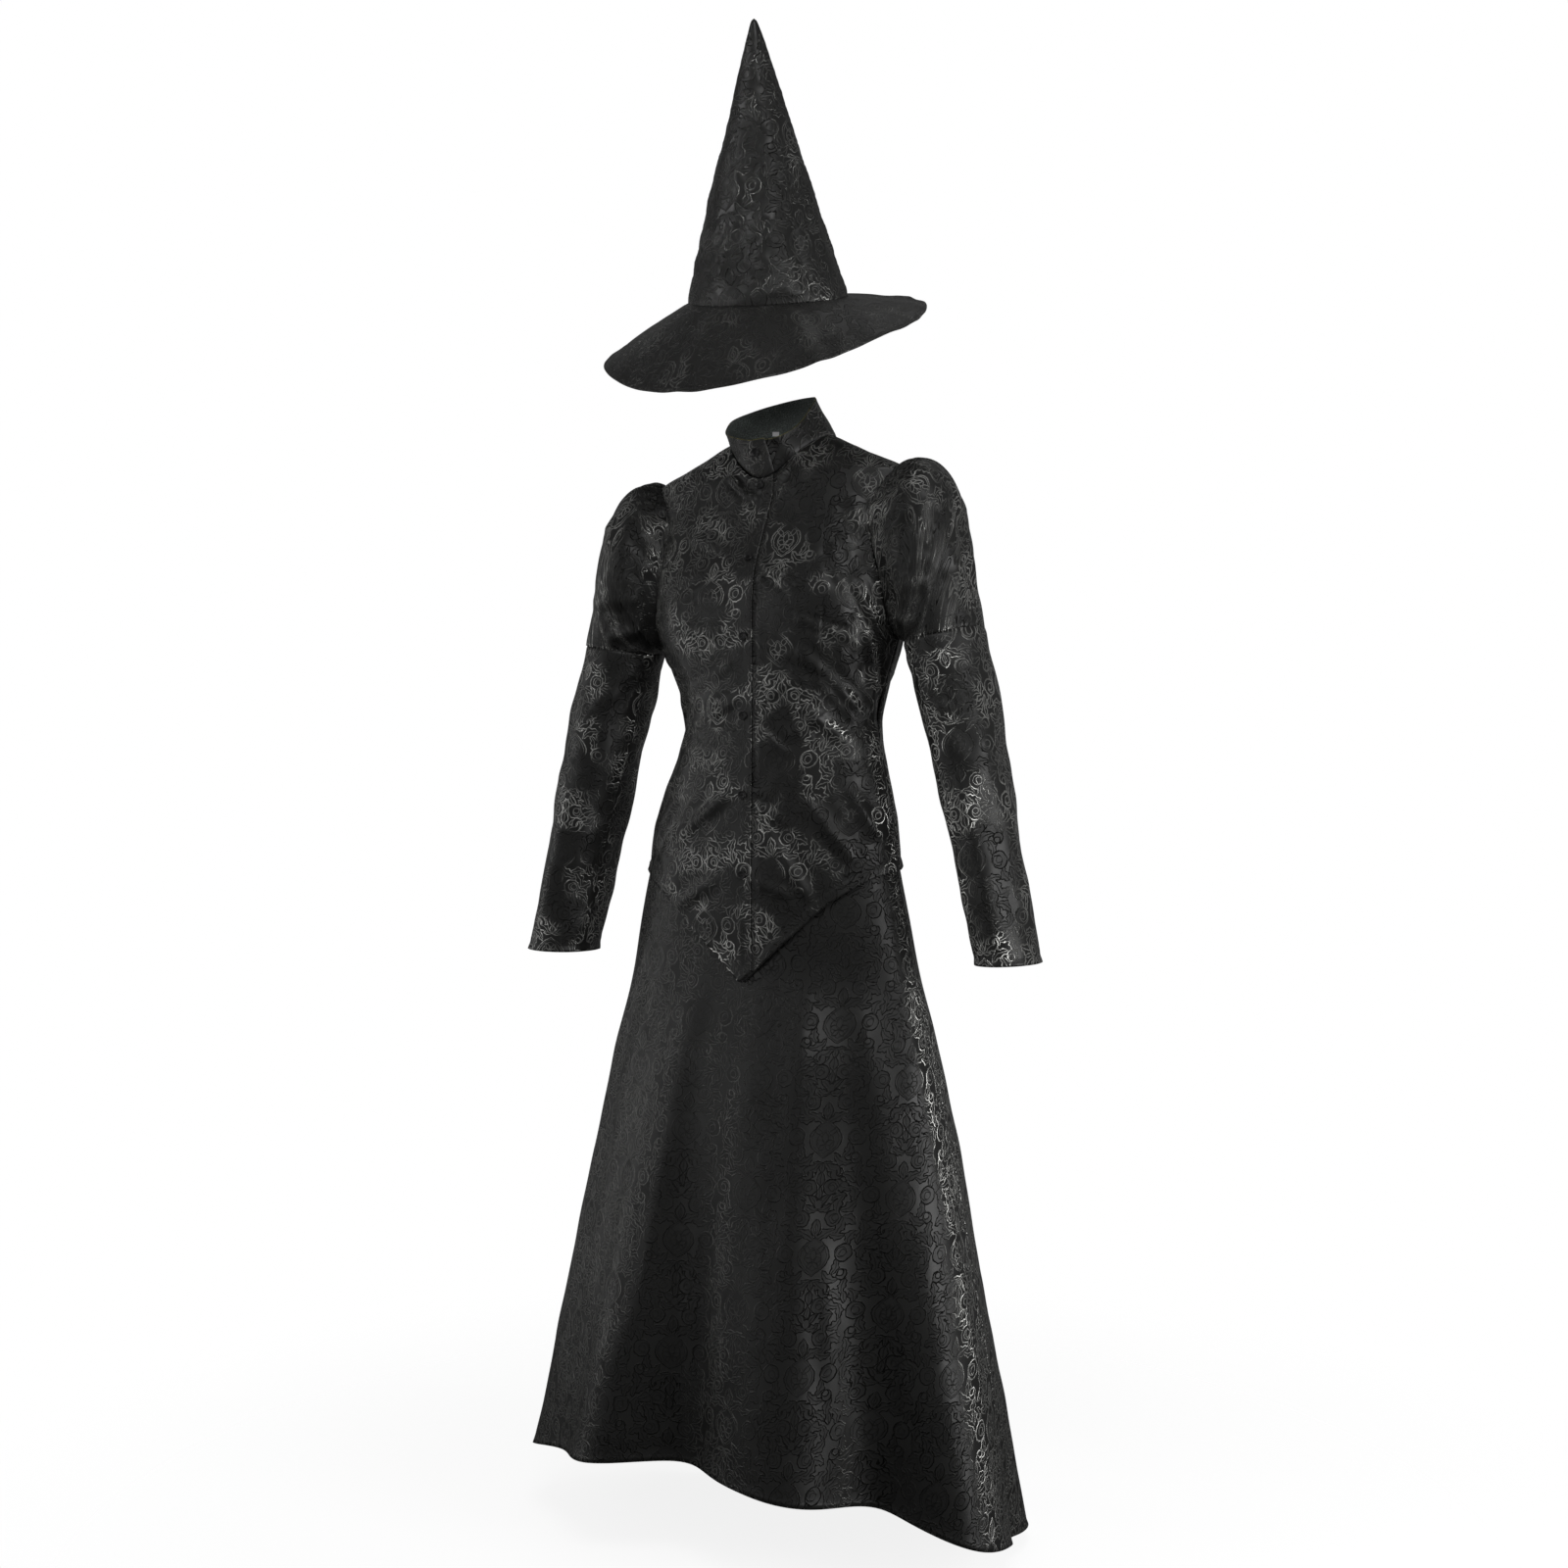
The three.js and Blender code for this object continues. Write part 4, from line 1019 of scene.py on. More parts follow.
# %% Lay the lower sleeves
LOWER_FOLDS = table(
    "from_turn from_along to_turn to_along width rise",
    (250, 0.2, 200, 0.9, 8, 3.0),
    (240, 0.6, 180, 1.2, 8, 2.6),
    (200, 1.4, 150, 1.9, 10, 2.2),
    (300, 0.3, 340, 1.0, 8, 2.8),
    (150, 0.4, 140, 2.4, 14, 3.2),
    (120, 1.2, 110, 3.6, 16, 2.8),
    (190, 1.8, 178, 3.8, 13, 2.8),
    (70, 0.3, 76, 2.6, 15, 3.0),
    (20, 0.9, 24, 3.2, 14, 2.8),
    (230, 2.0, 220, 3.9, 12, 2.4),
    (320, 1.5, 324, 3.8, 13, 2.4),
)
LOWER_RINGS = len(LOWER_SLEEVE["ring"]) - 1
LOWER_LENGTH = 400
CUFF_BAND = 8
LOWER_SEAM = {"tuck": 2.6, "tuck_width": 4, "groove": 1.5, "groove_width": 2.0}


def lay_lower_sleeve(side):
    ring = sleeve_rings(LOWER_SLEEVE, RIGHT_CUFF_DROP if side < 0 else 0)

    def lay(u, v):
        turn = -90 + 360 * u
        points = ring(turn, LOWER_RINGS * v)
        from_seam = v * LOWER_LENGTH
        to_cuff = (1 - v) * LOWER_LENGTH
        rise = ripple(points, 120, 1.8, side) + ripple(points, 46, 0.6, 1)
        rise = rise + folds_rise(points, LOWER_FOLDS, one_place(ring)) + hem_band(to_cuff, CUFF_BAND)
        rise = rise - LOWER_SEAM["groove"] * np.exp(-((from_seam / LOWER_SEAM["groove_width"]) ** 2))
        tuck = LOWER_SEAM["tuck"] * (1 - smoothstep(from_seam, 0, LOWER_SEAM["tuck_width"]))
        laid = points + tube_normals(points) * rise[..., None]
        laid[..., 2] = laid[..., 2] + tuck
        cut = along_tube(points)
        return laid * np.array([side, 1, 1]), cut, edges(to_cuff, cut[..., 0])

    return lay


sleeve_lower_left = cloth_panel("sleeve_lower_left_cloth", (110, 120), lay_lower_sleeve(1), closed=True)
sleeve_lower_right = turned_out(
    cloth_panel("sleeve_lower_right_cloth", (110, 120), lay_lower_sleeve(-1), closed=True)
)

# %% [markdown]
# ## Hat
# The crown is a cone cut from stiffened damask, with soft corners where it was folded and a
# crumpled, uneven surface. The brim is a ring that droops to one side. A cone and a disc from the
# operators would need all of that pushed in later, so both are laid as grids like the other
# panels. They are worked out round the hat's own axis and then leant over in one turn.

# %% Hat tables
HAT = {"x": -17, "y": -13, "z": 185, "towards_viewer": 18, "viewer_angle": 30, "side_lean": 2.9}
CROWN = {"radius": 105, "height": 341, "tip_radius": 2.6, "tip_from": 0.985}
CROWN_FOOT = {"tuck": 2.8, "within": 7}
CROWN_CORNER = {"width": 30, "rise": 7.0}
CROWN_CORNERS = table(
    "at rise spread",
    (-78, 5, 16), (-38, -7, 24), (35, 4, 22), (110, -6, 26), (200, 4, 24),
)
BRIM_EDGE = table(
    "at radius droop",
    (-180, 219, 76),
    (-135, 207, 96),
    (-90, 214, 77),
    (-45, 215, 36),
    (0, 206, 17),
    (45, 214, 15),
    (90, 220, 18),
    (135, 224, 48),
    (180, 219, 76),
)
brim_edge = lines(BRIM_EDGE, "at")


def hat_turn():
    """The hat leans towards the viewer and a little to one side."""
    angle = math.radians(HAT["viewer_angle"])
    up = Vector((0, 0, 1))
    towards = Vector((math.sin(angle), -math.cos(angle), 0))
    sideways = Vector((-math.cos(angle), -math.sin(angle), 0))
    forward = Matrix.Rotation(math.radians(HAT["towards_viewer"]), 3, up.cross(towards))
    aside = Matrix.Rotation(math.radians(HAT["side_lean"]), 3, up.cross(sideways))
    return np.array(aside @ forward @ Matrix.Rotation(angle, 3, "Z"))


HAT_TURN = hat_turn()


def placed_hat(points):
    return points @ HAT_TURN.T + np.array([HAT["x"], HAT["y"], HAT["z"]])


print("hat axis:", [round(float(x), 3) for x in HAT_TURN[:, 2]])

# %% Lay the crown
CROWN_RIDGE = table(
    "turn up", (-70, 0.0), (-78, 0.08), (-84, 0.24), (-69, 0.5), (-52, 0.64), (-40, 0.82), (-38, 0.95)
)
CROWN_CREASES = table(
    "from_turn from_up to_turn to_up width rise",
    (-58, 0.0, -66, 0.34, 9, -4.5),
    (-60, 0.2, -40, 0.62, 8, -4.0),
    (-112, 0.02, -116, 0.4, 16, -3.5),
    (-100, 0.3, -92, 0.7, 12, -2.6),
    (-130, 0.1, -118, 0.34, 7, 2.6),
    (-118, 0.3, -128, 0.6, 7, 2.4),
    (-150, 0.4, -110, 0.5, 6, 1.8),
    (-100, 0.1, -140, 0.16, 7, 1.8),
    (-30, 0.1, -20, 0.44, 9, 3.0),
    (-50, 0.3, -20, 0.34, 7, 2.0),
    (30, 0.05, 44, 0.5, 9, 3.2),
    (80, 0.1, 96, 0.6, 8, 3.0),
    (60, 0.3, 110, 0.36, 7, 2.0),
    (140, 0.05, 150, 0.42, 9, 3.2),
    (180, 0.2, 170, 0.6, 8, 2.6),
    (200, 0.1, 160, 0.2, 7, 1.8),
)


def round_the_hat(u):
    """Once round from the seam, in turns between -180 and 180 that close exactly."""
    turn = (360 * u + 270) % 360 - 180
    turn[:, -1] = turn[:, 0]
    return turn


def crown_points(turn, up):
    rise = 0
    for row in zip(*CROWN_CORNERS.values()):
        rise = rise + swell(turn, *row)
    taper = 1 - up
    radius = mix(CROWN["tip_radius"], CROWN["radius"], taper) + rise * taper * np.minimum(up * 4, 1)
    return np.stack([radius * cos_deg(turn), radius * sin_deg(turn), CROWN["height"] * up], axis=-1)


def lay_crown(u, up):
    past_tip = np.maximum(up - CROWN["tip_from"], 0) / (1 - CROWN["tip_from"])
    points = crown_points(round_the_hat(u), up)
    points[..., :2] = points[..., :2] * np.sqrt(np.clip(1 - past_tip**2, 0, 1))[..., None]
    corners = crown_points(CROWN_RIDGE["turn"], CROWN_RIDGE["up"])
    rise = ripple(points, 70, 1.4) + ripple(points, 27, 1.1, 2) + ripple(points, 13, 0.8, 1)
    rise = rise + folds_rise(points, CROWN_CREASES, one_place(crown_points))
    rise = rise + ridge_rise(points, corners, CROWN_CORNER["width"], CROWN_CORNER["rise"])
    foot = up * CROWN["height"]
    rise = rise * (1 - up) ** 0.6 * smoothstep(foot, 0, 14) - 1.0 * np.exp(-((foot / 2.5) ** 2))
    laid = points + tube_normals(points) * rise[..., None]
    laid[..., 2] = laid[..., 2] - CROWN_FOOT["tuck"] * (1 - smoothstep(foot, 0, CROWN_FOOT["within"]))
    slant = math.hypot(CROWN["radius"], CROWN["height"])
    reach = slant * (1 - up)
    spread = np.radians(360 * u - 180) * CROWN["radius"] / slant
    cut = np.stack([reach * np.sin(spread), -reach * np.cos(spread)], axis=-1)
    return placed_hat(laid), cut, edges(foot, reach * spread)


crown = cloth_panel("hat_crown_cloth", (160, 120), lay_crown, closed=True)

# %% Lay the brim
BRIM = {"gap": SEAM_GAP + 0.2, "inner_tuck": 1.6, "straight": 0.86, "curved": 0.14, "slant": 1.06}
BRIM_BAND = 7
BRIM_FOLDS = table(
    "from_turn from_out to_turn to_out width rise",
    (-78, 0, -74, 1.15, 11, 3.4),
    (-128, 0, -124, 1.15, 14, 2.6),
    (20, 0, 24, 1.15, 12, 2.4),
    (120, 0, 124, 1.15, 12, 2.6),
    (-30, 0, -26, 1.15, 12, -2.4),
)


def brim_points(turn, out):
    reach = brim_edge["radius"](turn) - CROWN["radius"]
    radius = CROWN["radius"] + reach * out - BRIM["inner_tuck"] * (1 - smoothstep(out, 0, 0.05))
    drop = brim_edge["droop"](turn) * (BRIM["straight"] * out + BRIM["curved"] * out * out)
    return np.stack([radius * cos_deg(turn), radius * sin_deg(turn), -BRIM["gap"] - drop], axis=-1)


def lay_brim(u, v):
    out = 1 - v
    points = brim_points(round_the_hat(u), out)
    from_edge = arc_lengths(points, 0)
    rise = ripple(points, 130, 2.2) * out + ripple(points, 52, 0.8, 1) * out
    rise = rise + folds_rise(points, BRIM_FOLDS, one_place(brim_points)) + hem_band(from_edge, BRIM_BAND)
    rise = rise * smoothstep(out, 0, 0.12)
    laid = placed_hat(points + tube_normals(points) * rise[..., None])
    return laid, points[..., :2] * BRIM["slant"], edges(from_edge, arc_lengths(points, 1))


brim = cloth_panel("hat_brim_cloth", (240, 40), lay_brim, closed=True, wall=CLOTH["stiffened"])

# %% [markdown]
# ## Buttons
# Seven round four-hole buttons close the jacket and the collar. A real one is moulded or turned. A
# cylinder with a bevel would lack the dish and the raised rim, so one profile is spun into a disc,
# four round holes go through it, and two bars of thread cross them. It is made once and copied.

# %% Turn one button
BUTTON = {"radius": 5.6, "rim": 1.3, "height": 2.4, "dish": 0.7, "stand": 0.6}
BUTTON_HOLES = {"radius": 0.75, "at": 1.5, "thread": 0.35}


def lathed(name, profile, steps):
    """Spin a profile of radius and height points into a closed solid."""
    turned = bmesh.new()
    points = [turned.verts.new((radius * MM, 0, height * MM)) for radius, height in profile]
    rim = [turned.edges.new(pair) for pair in zip(points, points[1:])]
    bmesh.ops.spin(
        turned, geom=points + rim, cent=(0, 0, 0), axis=(0, 0, 1),
        angle=2 * math.pi, steps=steps, use_merge=True,
    )
    bmesh.ops.remove_doubles(turned, verts=turned.verts, dist=1e-6)
    bmesh.ops.recalc_face_normals(turned, faces=turned.faces)
    mesh = bpy.data.meshes.new(name)
    turned.to_mesh(mesh)
    turned.free()
    return mesh


def facing(place, normal):
    """A turn and a move that lay a flat thing on a surface."""
    turn = Vector(normal).to_track_quat("Z", "Y").to_matrix().to_4x4()
    return Matrix.Translation(Vector(place) * MM) @ turn


def add_rod(shell, radius, length, segments, matrix):
    """A closed round rod, for the drills and the threads."""
    bmesh.ops.create_cone(
        shell, cap_ends=True, segments=segments, radius1=radius * MM, radius2=radius * MM,
        depth=length * MM, matrix=matrix,
    )


def button_disc():
    """A dished disc with a raised, rounded rim."""
    radius, height, dish = BUTTON["radius"], BUTTON["height"], BUTTON["dish"]
    inner = radius - BUTTON["rim"]
    profile = [
        (0, 0.2),
        (radius - 1.2, 0.2),
        (radius - 0.3, 0.7),
        (radius, height * 0.6),
        (radius - 0.35, height - 0.15),
        (radius - 0.8, height),
        (inner + 0.1, height - 0.15),
        (inner - 0.5, height - dish),
        (inner - 1.6, height - dish - 0.15),
        (0, height - dish - 0.15),
    ]
    return bpy.data.objects.new("button_disc", lathed("button_disc", profile, 40))


def button_drill():
    """Four rods that stand where the holes go."""
    drills = bmesh.new()
    for turn in range(4):
        quarter = Matrix.Rotation(math.radians(45 + 90 * turn), 4, "Z")
        aside = Matrix.Translation((BUTTON_HOLES["at"] * MM, 0, BUTTON["height"] / 2 * MM))
        place = (quarter @ aside).to_translation()
        add_rod(drills, BUTTON_HOLES["radius"], 6, 14, Matrix.Translation(place))
    mesh = bpy.data.meshes.new("button_drills")
    drills.to_mesh(mesh)
    drills.free()
    return bpy.data.objects.new("button_drills", mesh)


def button_mesh():
    disc, drill = button_disc(), button_drill()
    for thing in (disc, drill):
        bpy.context.scene.collection.objects.link(thing)
    cut = disc.modifiers.new("holes", "BOOLEAN")
    cut.object = drill
    cut.operation = "DIFFERENCE"
    cut.solver = "EXACT"
    bpy.context.view_layer.update()
    mesh = bpy.data.meshes.new_from_object(disc.evaluated_get(bpy.context.evaluated_depsgraph_get()))
    bpy.data.objects.remove(disc)
    bpy.data.objects.remove(drill)
    threads = bmesh.new()
    threads.from_mesh(mesh)
    level = BUTTON["height"] - BUTTON["dish"] + 0.1
    for turn in (45, 135):
        bar = Matrix.Translation((0, 0, level * MM)) @ Matrix.Rotation(math.radians(turn), 4, "Z")
        bar = bar @ Matrix.Rotation(math.radians(90), 4, "Y")
        add_rod(threads, BUTTON_HOLES["thread"], 2 * BUTTON_HOLES["at"], 8, bar)
    threads.to_mesh(mesh)
    threads.free()
    return mesh


button = button_mesh()
print("faces of one button:", len(button.polygons))

# %% Sew on the buttons
FRONT_BUTTON_HEIGHTS = [-66, -161, -262, -362, -462, -563]
COLLAR_BUTTON = {"at": 274, "up": 0.66}


def button_places():
    """Where each button sits, and which way it faces."""
    places = {}
    turn, up = np.array([float(COLLAR_BUTTON["at"])]), np.array([COLLAR_BUTTON["up"]])
    places["button_collar"] = (collar_points(turn, up)[0], collar_normal(turn, up)[0])
    for i, z in enumerate(FRONT_BUTTON_HEIGHTS, 1):
        angle = angle_at_x(0.0, float(z))
        places[f"button_front_{i}"] = (form(angle, float(z)), form_normal(angle, float(z)))
    return places


buttons = []
for name, (place, normal) in button_places().items():
    mesh = button.copy()
    mesh.transform(facing(place + normal * BUTTON["stand"], normal))
    mesh.set_sharp_from_angle(angle=math.radians(40))
    piece = bpy.data.objects.new(name + "_turned", mesh)
    bpy.context.scene.collection.objects.link(piece)
    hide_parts(name)
    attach(piece, "root")
    buttons.append(piece)
print("buttons:", len(buttons))

# %% [markdown]
# ## The woven damask
# A damask has one colour. Its figure shows because the threads lie another way in it, so that it
# takes the light differently from the satin ground. An image could carry the figure, but it would
# blur close up. So the repeat is drawn as sums on the flat cut, which stay sharp at any size: a short
# list of leaves, petals and scrolls, all mirrored about the middle of the repeat. A leaf
# or petal is the space between two bows, and a scroll is a crescent round a centre.

# %% A small language for shader sums
class Value:
    """One number in a shader, with the usual signs for sums."""

    def __init__(self, shader, socket):
        self.shader, self.socket = shader, socket

    def sum(self, operation, *others):
        return self.shader.node("ShaderNodeMath", {"operation": operation}, *others)

    def __add__(self, other):
        return self.sum("ADD", self, other)

    def __sub__(self, other):
        return self.sum("SUBTRACT", self, other)

    def __mul__(self, other):
        return self.sum("MULTIPLY", self, other)

    def __truediv__(self, other):
        return self.sum("DIVIDE", self, other)

    def __rsub__(self, other):
        return self.sum("SUBTRACT", other, self)

    __radd__, __rmul__ = __add__, __mul__

    def least(self, other):
        return self.sum("MINIMUM", self, other)

    def most(self, other):
        return self.sum("MAXIMUM", self, other)

    def size(self):
        return self.sum("ABSOLUTE", self)

    def fraction(self):
        return self.sum("FRACT", self)

    def floor(self):
        return self.sum("FLOOR", self)

    def cosine(self):
        return self.sum("COSINE", self)

    def step(self, low, high):
        """0 below low, 1 above high, smooth between."""
        return self.shader.node(
            "ShaderNodeMapRange", {"interpolation_type": "SMOOTHSTEP"}, self, low, high, 0.0, 1.0
        )


class Shader:
    """The node tree of a material or a world, and one way to add any node to it."""

    def __init__(self, owner):
        owner.use_nodes = True
        self.owner = owner
        self.tree = owner.node_tree
        self.tree.nodes.clear()

    def node(self, kind, settings=None, *values, out=0, **named):
        """A node of a kind: its settings first, then what goes into its sockets, in order or by name."""
        made = self.tree.nodes.new(kind)
        for key, value in (settings or {}).items():
            setattr(made, key, value)
        for place, value in enumerate(values):
            self.plug(made.inputs[place], value)
        for key, value in named.items():
            self.plug(made.inputs[key.replace("_", " ")], value)
        return Value(self, made.outputs[out]) if made.outputs else None

    def plug(self, socket, value):
        if isinstance(value, Value):
            self.tree.links.new(value.socket, socket)
        else:
            socket.default_value = value

    def parts(self, vector):
        """The first two numbers of a vector."""
        split = self.node("ShaderNodeSeparateXYZ", None, vector).socket.node
        return Value(self, split.outputs[0]), Value(self, split.outputs[1])

    def noise(self, place, scale, detail, **named):
        """Smooth noise on the flat cut."""
        flat = {"noise_dimensions": "2D"}
        return self.node("ShaderNodeTexNoise", flat, Vector=place, Scale=scale, Detail=detail, **named)

    def flat_cut(self):
        """Place on the flat cut, in millimetres."""
        return self.vector("MULTIPLY", self.node("ShaderNodeUVMap", {"uv_map": "cut"}), (1000, 1000, 0))

    def vector(self, operation, *values, out=0, **named):
        return self.node("ShaderNodeVectorMath", {"operation": operation}, *values, out=out, **named)

    def colours(self, factor, first, second):
        made = self.tree.nodes.new("ShaderNodeMix")
        made.data_type = "RGBA"
        for key, value in (("Factor", factor), ("A", first), ("B", second)):
            found = [s for s in made.inputs if s.name == key and s.type in ("VALUE", "RGBA")]
            self.plug(found[0] if key == "Factor" else found[-1], value)
        return Value(self, [s for s in made.outputs if s.type == "RGBA"][0])


def grey(level, warmth=0.0):
    return (level, level, level * (1 - warmth), 1)


print("a warm black:", grey(0.015, 0.05))

# %% The drawing of one repeat
REPEAT = {"width": 98.0, "height": 140.0}
JOIN_MARGIN = 30
SCALLOPS = {"wider_than": 4.2, "waves": 9, "depth": 0.2}
RIB_INSET = 1.7
MEDALLION_RIM = 3.4
PETALS = table(
    "x y angle length width bend",
    (0, 0, 90, 23, 20, 0),
    (0, 34, 90, 11, 6.2, 0),
    (12, 27, 28, 13, 5, -3),
    (26, 23, -8, 11, 4.6, 3),
    (30, 34, 62, 12, 5.4, 3),
    (39, 43, -20, 10, 5.6, -3),
    (38, 57, 34, 11, 5.4, 4),
    (24, 62, 74, 12, 5.2, -4),
    (9, 56, 20, 9, 4.4, 3),
    (7, 68, 50, 8, 3.8, -2),
    (0, 75, 90, 8, 4.0, 0),
    (28, 82, -28, 13, 5.6, 4),
    (24, 72, 14, 9, 4.3, -3),
    (0, 92, 90, 9, 5.0, 0),
    (0, 106, 90, 6, 3.6, 0),
    (6, 110, 0, 6, 3.4, 2),
    (22, -27, 152, 13, 5.2, -5),
    (30, -14, 74, 10, 4.8, 4),
    (41, -37, 82, 10, 5.0, -3),
    (34, -45, 148, 10, 5.2, 3),
    (45, -50, 100, 8, 4.0, 0),
    (42, 22, 64, 10, 5.4, -4),
    (42, 74, 100, 10, 5.0, 3),
    (10, -35, -35, 9, 4.4, 3),
    (22, -58, 60, 9, 4.6, -3),
)
SCROLLS = table(
    "x y radius facing reach width",
    (20, -41, 6.0, 200, 150, 3.2),
    (38, -22, 5.0, 300, 150, 2.8),
    (14, 100, 6.6, 60, 140, 3.0),
)
DOTS = table("x y radius", (20, 45, 9.6), (0, 62, 5.4), (13.5, 82, 9.2), (37.5, 3, 10.4))
INNER_PETALS = table(
    "x y angle length width bend",
    (0, -3, 90, 14, 11, 0),
    (0, 1, 90, 8, 3.6, 0),
    (5, -4, 20, 6, 3.0, 0),
    (4, -10, -50, 5, 2.4, 0),
    (9, 9, 42, 8, 2.8, 0),
    (0, 33, 90, 6, 2.6, 0),
)
CURLS = table(
    "x y radius facing reach width",
    (22, 45, 4.6, 200, 150, 1.8),
    (15, 82, 4.4, 60, 150, 1.8),
    (36, 3, 5.2, 150, 150, 2.2),
)


def damask_field(shader, place):
    """Below 0 inside the figure and above 0 in the ground, and the distance to the lines in it."""
    width, height = REPEAT["width"], REPEAT["height"]
    x_all, y_all = shader.parts(place)
    column = x_all / width
    half_drop = (column.floor() * 0.5).fraction()
    x = (column.fraction() - 0.5).size() * width
    row = y_all / height + half_drop
    spots = [
        shader.node("ShaderNodeCombineXYZ", None, x, (row + shift).fraction() * height, 0.0)
        for shift in (0, 0.5)
    ]

    def from_centre(at_x, at_y):
        """Offset from a place in the repeat. Near the join, the rows are counted half a repeat on."""
        at_y = at_y % height
        near_join = not JOIN_MARGIN < at_y < height - JOIN_MARGIN
        if near_join:
            at_y = (at_y + height / 2) % height
        return shader.vector("SUBTRACT", spots[near_join], (at_x, at_y, 0))

    def petal(at_x, at_y, angle, length, width, bend):
        offset = from_centre(at_x, at_y)
        c, s = math.cos(math.radians(angle)), math.sin(math.radians(angle))
        along = shader.vector("DOT_PRODUCT", offset, (c / length, s / length, 0), out=1)
        squared = along * along
        aside = (shader.vector("DOT_PRODUCT", offset, (-s, c, 0), out=1) - squared * bend).size()
        reach = (1 - squared) * width
        if at_x > 0 and width > SCALLOPS["wider_than"]:
            reach = reach * (1 + (along * SCALLOPS["waves"]).cosine() * SCALLOPS["depth"])
        field = aside - reach
        return field, aside.most(field + RIB_INSET)

    def scroll(at_x, at_y, radius, facing_angle, reach, width):
        offset = from_centre(at_x, at_y)
        away = shader.vector("LENGTH", offset, out=1)
        c, s = math.cos(math.radians(facing_angle)), math.sin(math.radians(facing_angle))
        side = shader.vector("DOT_PRODUCT", offset, (c, s, 0), out=1) / away
        low = math.cos(math.radians(reach))
        return (away - radius).size() - (side - low) * (width / (1 - low))

    def least_of(fields):
        total = fields[0]
        for field in fields[1:]:
            total = total.least(field)
        return total

    petals = [petal(*row) for row in zip(*PETALS.values())]
    fields = [field for field, rib in petals] + [scroll(*row) for row in zip(*SCROLLS.values())]
    for at_x, at_y, radius in zip(*DOTS.values()):
        fields.append(shader.vector("LENGTH", from_centre(at_x, at_y), out=1) - radius)
    figure_field = least_of(fields)
    ribs = least_of([rib for field, rib in petals[1:]])
    medallion_rim = (petals[0][0] + MEDALLION_RIM).size()
    flower = least_of([petal(*row)[0].size() for row in zip(*INNER_PETALS.values())])
    curls = least_of([scroll(*row).size() for row in zip(*CURLS.values())])
    return figure_field, ribs.least(medallion_rim).least(flower).least(curls)


print("leaves and petals:", len(PETALS["x"]), "scrolls:", len(SCROLLS["x"]))

# %% [markdown]
# ## The finish of the cloth
# Satin thread gleams where it turns over the edge of the figure. Plain black paint would look like
# paper, so the outlines are drawn smoother, with a metallic share, and carry a painted glint: their
# colour is painted brighter where the cloth slants away from the eye and in patches from a smooth
# noise. The figure also leans the normal a little aside, so that it takes a highlight earlier or later
# than the ground. Stitches and piping are lines at a set distance from the edge.

# %% The right side of the cloth
DRAWING = {"outline": (0.4, 1.1), "inner_line": (0.2, 0.75), "inner_share": 0.75}
SATIN = {"rough": 0.40, "figure": 0.04, "outline": -0.16, "thread": 0.2, "metal": 0.85}
LEAN = {"figure": -0.07, "outline": -0.42}
STITCH = {"length": 3.2, "sewn": (0.5, 0.62), "width": (0.25, 0.6)}
PIPING_OLIVE = (0.13, 0.12, 0.05, 1)


def stitches_along(shader, near, run):
    on_line = 1 - (near - HEM_STITCH_AT).size().step(*STITCH["width"])
    return on_line * (1 - (run / STITCH["length"]).fraction().step(*STITCH["sewn"]))


